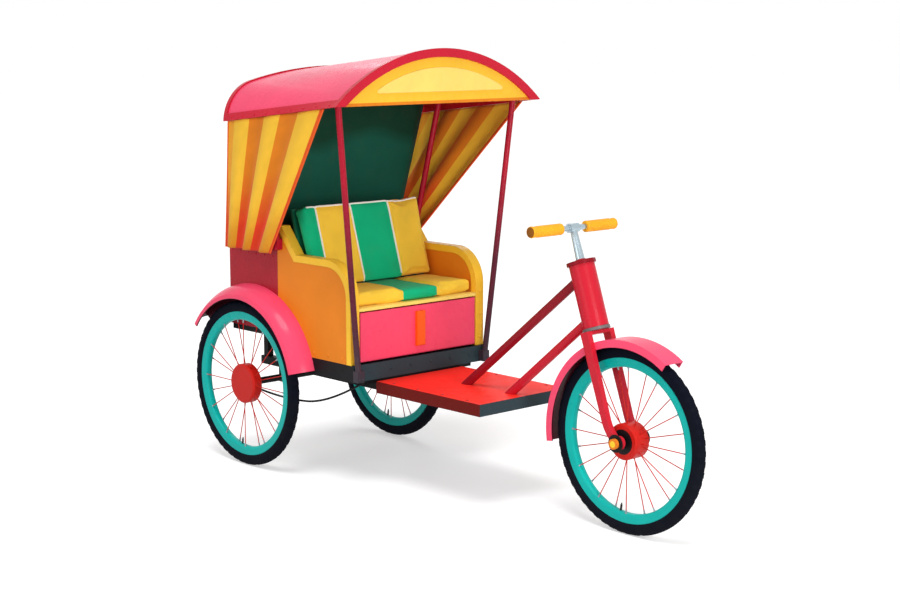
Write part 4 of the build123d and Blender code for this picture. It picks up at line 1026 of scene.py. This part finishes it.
seat_shape = bmesh.new()
seat_low, seat_high = SEAT_BOX
bmesh.ops.create_cube(seat_shape, size=1.0)
bmesh.ops.scale(seat_shape, vec=seat_high - seat_low, verts=seat_shape.verts)
bmesh.ops.translate(seat_shape, vec=(seat_low + seat_high) / 2, verts=seat_shape.verts)
round_edges(seat_shape, SEAT_EDGE, segments=3)
seat_stripes = (
    (-STRIPE_SPAN / 2, COTTON_YELLOW),
    (SEAT_SEAMS[0], COTTON_GREEN),
    (SEAT_SEAMS[1], COTTON_YELLOW),
)
seat_cotton = cloth_of("seat_cloth", across_stripes(seat_stripes))
stuffed(
    seat_shape, "seat_pad", seat_cotton, ("seat_cushion",), SEAT_SEAMS, seat_front, seat_limit
)

# Backrest: a thick leaning pad in four upright lengths of the same cotton, green and yellow by turns.
# White piping is sewn into the seams between them and along the top front edge.
BACK_SECTION = (
    # ahead, up, from the front foot over the top to the rear foot
    (-0.5230, 0.8125),
    (-0.6272, 1.1455),
    (-0.6962, 1.1225),
    (-0.5980, 0.8125),
)
BACK_HALF = 0.3215
BACK_SEAMS = (-0.262, -0.073, 0.137)
BACK_EDGE = 0.016
BACK_LEAN = 17.547
BACK_BOARD_FOOT = Vector((-0.6007, 0.0, 0.8083))
BACK_GAP = 0.0005
BACK_FOOT = 0.8088
BACK_LIMIT = 0.3255
BACK_FRONT_LEAN = 0.1
BACK_TOP_LEAN = 0.5
PIPING_WHITE = (250, 249, 240)
PIPING_RADIUS = 0.0040
PIPING_PROUD = 0.0015
PIPING_STEPS = 24
PIPING_FOOT = 0.008
PIPING_REACH = Vector((0.10, 0.0, 0.03))
ROLL_CENTRE = Vector((-0.6582, 0.0, 1.111))
ROLL_REACH = 0.15
ROLL_TURNS = (25, 45, 65, 85, 105)
TOP_PIPING_STEPS = 60
TOP_PIPING_HALF = 0.306
TOP_PIPING_AHEAD = 0.005
TOP_PIPING_TURN = 50


def back_front(vertex):
    return vertex.normal.x > BACK_FRONT_LEAN or vertex.normal.z > BACK_TOP_LEAN


def back_limit(place):
    kept = Vector((place.x, min(max(place.y, -BACK_LIMIT), BACK_LIMIT), max(place.z, BACK_FOOT)))
    out = outward(BACK_LEAN)
    return kept - out * min((kept - BACK_BOARD_FOOT).dot(out) - BACK_GAP, 0.0)


back_shape = bmesh.new()
side_ring = [back_shape.verts.new((ahead, -BACK_HALF, up)) for ahead, up in BACK_SECTION]
side_face = back_shape.faces.new(side_ring)
drawn = bmesh.ops.extrude_face_region(back_shape, geom=[side_face])["geom"]
moved = [item for item in drawn if isinstance(item, bmesh.types.BMVert)]
bmesh.ops.translate(back_shape, vec=(0.0, 2 * BACK_HALF, 0.0), verts=moved)
bmesh.ops.recalc_face_normals(back_shape, faces=back_shape.faces)
round_edges(back_shape, BACK_EDGE, segments=4)
back_stripes = (
    (-STRIPE_SPAN / 2, COTTON_GREEN),
    (BACK_SEAMS[0], COTTON_YELLOW),
    (BACK_SEAMS[1], COTTON_GREEN),
    (BACK_SEAMS[2], COTTON_YELLOW),
)
back_cotton = cloth_of("back_cloth", across_stripes(back_stripes))
back_pad = stuffed(
    back_shape, "back_pad", back_cotton, ("backrest",), BACK_SEAMS, back_front, back_limit
)


def round_cord(points, radius):
    holder = cord_line("cord", points, radius, sides=2, steps=4)
    tube = bpy.data.meshes.new_from_object(holder.evaluated_get(bpy.context.evaluated_depsgraph_get()))
    line = holder.data
    bpy.data.objects.remove(holder)
    bpy.data.curves.remove(line)
    shape = bmesh.new()
    shape.from_mesh(tube)
    bpy.data.meshes.remove(tube)
    bmesh.ops.remove_doubles(shape, verts=shape.verts, dist=WELD)
    bmesh.ops.recalc_face_normals(shape, faces=shape.faces)
    return shape


def sewn_on(skin, rays):
    points = []
    for start, heading in rays:
        place = skin.ray_cast(start, heading)[0]
        if place is not None:
            points.append(place - heading * PIPING_PROUD)
    return round_cord(points, PIPING_RADIUS)


piping_cotton = cloth_of("piping_cloth", PIPING_WHITE, soil=0.05)
back_skin = BVHTree.FromObject(back_pad, bpy.context.evaluated_depsgraph_get())
(foot_ahead, foot_up), (head_ahead, head_up) = BACK_SECTION[:2]
seam_foot = Vector((foot_ahead, 0.0, foot_up + PIPING_FOOT))
seam_head = Vector((head_ahead, 0.0, head_up))
seam_rays = []
for number in range(PIPING_STEPS + 1):
    spot = seam_foot.lerp(seam_head, number / PIPING_STEPS)
    seam_rays.append((spot + PIPING_REACH, -outward(BACK_LEAN)))
for turn in ROLL_TURNS:
    seam_rays.append((ROLL_CENTRE + outward(turn) * ROLL_REACH, -outward(turn)))
for number, seam in enumerate(BACK_SEAMS):
    rays = [(start + Vector((0.0, seam, 0.0)), heading) for start, heading in seam_rays]
    fit(sewn_on(back_skin, rays), f"back_piping_{number}", piping_cotton, "chassis")
top_out = outward(TOP_PIPING_TURN)
top_rays = []
for number in range(TOP_PIPING_STEPS + 1):
    across = TOP_PIPING_HALF * (2 * number / TOP_PIPING_STEPS - 1)
    spot = ROLL_CENTRE + Vector((TOP_PIPING_AHEAD, across, 0.0))
    top_rays.append((spot + top_out * ROLL_REACH, -top_out))
fit(sewn_on(back_skin, top_rays), "back_piping_top", piping_cotton, "chassis")

# Back panel: a sheet of dark green canvas laced inside the rear arch and tacked to the lid of the rear box.
# It is stretched almost flat and bellies back a little; high under the roof it is painted a darker green as
# the roof's shadow.
PANEL_PLACE = -0.8277
PANEL_FOOT_HALF = 0.360
PANEL_FOOT_HEIGHT = 0.9545
PANEL_EAVE_HALF = 0.534
CROWN_CENTRE_HEIGHT = 0.0242
CROWN_RADIUS = 1.6788
SHOULDER_CENTRE_ACROSS = 0.3820
SHOULDER_CENTRE_HEIGHT = 1.4954
SHOULDER_RADIUS = 0.1588
SHOULDER_START = 0.4220
PANEL_BELLY = 0.010
PANEL_COLUMNS = 36
PANEL_ROWS = 30
PANEL_GREEN = (22, 92, 74)
PANEL_ROOF_SHADOW = (18, 66, 48)
ROOF_SHADOW_HEIGHTS = (1.46, 1.52)
ROOF_SHADOW_GRAIN = 2.2
ROOF_SHADOW_WANDER = 0.20
PANEL_CLOTH = 0.0016


# Painted shadow of the roof: the green darkens high up, along a wandering edge.
def panel_colours(tree):
    place = add_node(tree, "ShaderNodeTexCoord").outputs["Object"]
    wander = times(tree, speckle(tree, place, ROOF_SHADOW_GRAIN, detail=1.0), ROOF_SHADOW_WANDER)
    shade = spread(tree, plus(tree, place_on(tree, "Z"), wander), *ROOF_SHADOW_HEIGHTS)
    return mixed(tree, shade, paint(*PANEL_GREEN), paint(*PANEL_ROOF_SHADOW))


def panel_head(across):
    if across < SHOULDER_START:
        return CROWN_CENTRE_HEIGHT + math.sqrt(CROWN_RADIUS**2 - across**2)
    return SHOULDER_CENTRE_HEIGHT + math.sqrt(SHOULDER_RADIUS**2 - (across - SHOULDER_CENTRE_ACROSS) ** 2)


def thicken(piece, thickness):
    cloth = piece.modifiers.new("cloth", "SOLIDIFY")
    cloth.thickness = thickness
    cloth.offset = 0.0


panel_canvas = cloth_of("panel_canvas", panel_colours, soil=0.05)
panel_shape = bmesh.new()
bmesh.ops.create_grid(panel_shape, x_segments=PANEL_COLUMNS, y_segments=PANEL_ROWS, size=1.0)
for vertex in panel_shape.verts:
    side, rise = vertex.co.x, (vertex.co.y + 1) / 2
    head = panel_head(abs(side * PANEL_EAVE_HALF))
    across = side * (PANEL_FOOT_HALF + (PANEL_EAVE_HALF - PANEL_FOOT_HALF) * rise)
    belly = PANEL_BELLY * (1 - side**2) * math.sin(math.pi * rise)
    vertex.co = (PANEL_PLACE - belly, across, PANEL_FOOT_HEIGHT + (head - PANEL_FOOT_HEIGHT) * rise)
bmesh.ops.recalc_face_normals(panel_shape, faces=panel_shape.faces)
panel = fit(
    panel_shape, "back_canvas", panel_canvas, "chassis", ("back_panel",), crease=180.0
)
thicken(panel, PANEL_CLOTH)

# Curtains: striped cotton tacked under both eaves, drawn back and gathered at the side of the rear box.
# The yellow stripes stand out as folds and the orange ones lie in the valleys; painted fold shade darkens
# them towards the foot, the valleys to deep red and the folds to amber.
CURTAIN_TOP = (Vector((-0.843, 0.546, 1.5008)), Vector((-0.206, 0.546, 1.5719)))
CURTAIN_FOOT = (Vector((-1.079, 0.406, 0.942)), Vector((-0.756, 0.406, 0.942)))
CURTAIN_FOLDS = (
    # share of the width from the rear, fold outward
    (0.000, -0.4),
    (0.155, 1.0),
    (0.315, -1.0),
    (0.480, 1.0),
    (0.655, -1.0),
    (0.860, 1.0),
    (1.000, -0.2),
)
CURTAIN_GOLD = (250, 172, 48)
CURTAIN_YELLOW = (254, 200, 60)
CURTAIN_ORANGE = (234, 134, 32)
CURTAIN_RED = (242, 96, 36)
CURTAIN_STRIPES = (
    # share of the width from the rear, colour
    (0.000, CURTAIN_GOLD),
    (0.075, CURTAIN_YELLOW),
    (0.235, CURTAIN_ORANGE),
    (0.395, CURTAIN_YELLOW),
    (0.565, CURTAIN_ORANGE),
    (0.750, CURTAIN_YELLOW),
    (0.965, CURTAIN_RED),
)
# Painted fold shade: the valleys darken to this deep red towards the foot, and the folds to amber.
CURTAIN_DEEP = (236, 68, 36)
CURTAIN_VALLEY_SHADE_DROP = (0.52, 0.92)
CURTAIN_RIDGE_SHADE = (222, 138, 30)
CURTAIN_RIDGE_SHADE_DROP = (0.72, 1.12)
CURTAIN_FOLD_SHADOW_SCALE = 5.0
CURTAIN_FOLD_SHADOW_JITTER = 0.20
CURTAIN_THREADS = 300.0
CURTAIN_FOLD_TOP = 0.007
CURTAIN_FOLD_MIDDLE = 0.013
CURTAIN_FOLD_FOOT = 0.012
CURTAIN_COLUMNS = 84
CURTAIN_ROWS = 44
CURTAIN_CLOTH = 0.0016
HEM_RADIUS = 0.0036
HEM_STEPS = 20


def fold_at(share):
    for (start, low), (end, high) in zip(CURTAIN_FOLDS, CURTAIN_FOLDS[1:]):
        if share <= end:
            ease = (1 - math.cos(math.pi * (share - start) / (end - start))) / 2
            return low + (high - low) * ease
    return CURTAIN_FOLDS[-1][1]


def curtain_point(sign, share, drop):
    top = CURTAIN_TOP[0].lerp(CURTAIN_TOP[1], share)
    foot = CURTAIN_FOOT[0].lerp(CURTAIN_FOOT[1], share)
    place = top.lerp(foot, drop)
    depth = CURTAIN_FOLD_TOP + (CURTAIN_FOLD_FOOT - CURTAIN_FOLD_TOP) * drop
    depth += (CURTAIN_FOLD_MIDDLE - (CURTAIN_FOLD_TOP + CURTAIN_FOLD_FOOT) / 2) * math.sin(math.pi * drop)
    place.y += depth * fold_at(share)
    place.y *= sign
    return place


# Painted fold shade darkens every stripe towards the foot: the yellow ones to amber, the others to deep
# red.
def curtain_colours(tree):
    mapped = add_node(tree, "ShaderNodeTexCoord").outputs["UV"]
    parts = add_node(tree, "ShaderNodeSeparateXYZ", {0: mapped}).outputs
    striped = banded(tree, parts["X"], CURTAIN_STRIPES)
    wander = times(tree, speckle(tree, mapped, CURTAIN_FOLD_SHADOW_SCALE, detail=2.0), CURTAIN_FOLD_SHADOW_JITTER)
    drop = plus(tree, parts["Y"], wander)
    shades = {CURTAIN_YELLOW: (255, 255, 255)}
    pale = [(start, shades.get(colour, (0, 0, 0))) for start, colour in CURTAIN_STRIPES]
    pale_stripe = banded(tree, parts["X"], pale)
    valley = mixed(tree, spread(tree, drop, *CURTAIN_VALLEY_SHADE_DROP), striped, paint(*CURTAIN_DEEP))
    ridge = mixed(tree, spread(tree, drop, *CURTAIN_RIDGE_SHADE_DROP), striped, paint(*CURTAIN_RIDGE_SHADE))
    return mixed(tree, pale_stripe, valley, ridge)


curtain_cotton = cloth_of("curtain_cloth", curtain_colours, threads=CURTAIN_THREADS, soil=0.06, mapped=True)
hem_cotton = cloth_of("hem_cloth", CURTAIN_RED, soil=0.06)
for side, sign in SIDES:
    drape = bmesh.new()
    bmesh.ops.create_grid(drape, x_segments=CURTAIN_COLUMNS, y_segments=CURTAIN_ROWS, size=0.5)
    chart = drape.loops.layers.uv.new("cut")
    for face in drape.faces:
        for corner in face.loops:
            corner[chart].uv = (corner.vert.co.x + 0.5, 0.5 - corner.vert.co.y)
    for vertex in drape.verts:
        vertex.co = curtain_point(sign, vertex.co.x + 0.5, 0.5 - vertex.co.y)
    bmesh.ops.recalc_face_normals(drape, faces=drape.faces)
    covers = ("curtains",) if side == "right" else ()
    curtain = fit(drape, f"{side}_curtain", curtain_cotton, "chassis", covers, crease=180.0)
    thicken(curtain, CURTAIN_CLOTH)
    for edge, share in (("rear", 0.0), ("front", 1.0)):
        hem = round_cord(
            [curtain_point(sign, share, number / HEM_STEPS) for number in range(HEM_STEPS + 1)], HEM_RADIUS
        )
        fit(hem, f"{side}_curtain_{edge}_hem", hem_cotton, "chassis")
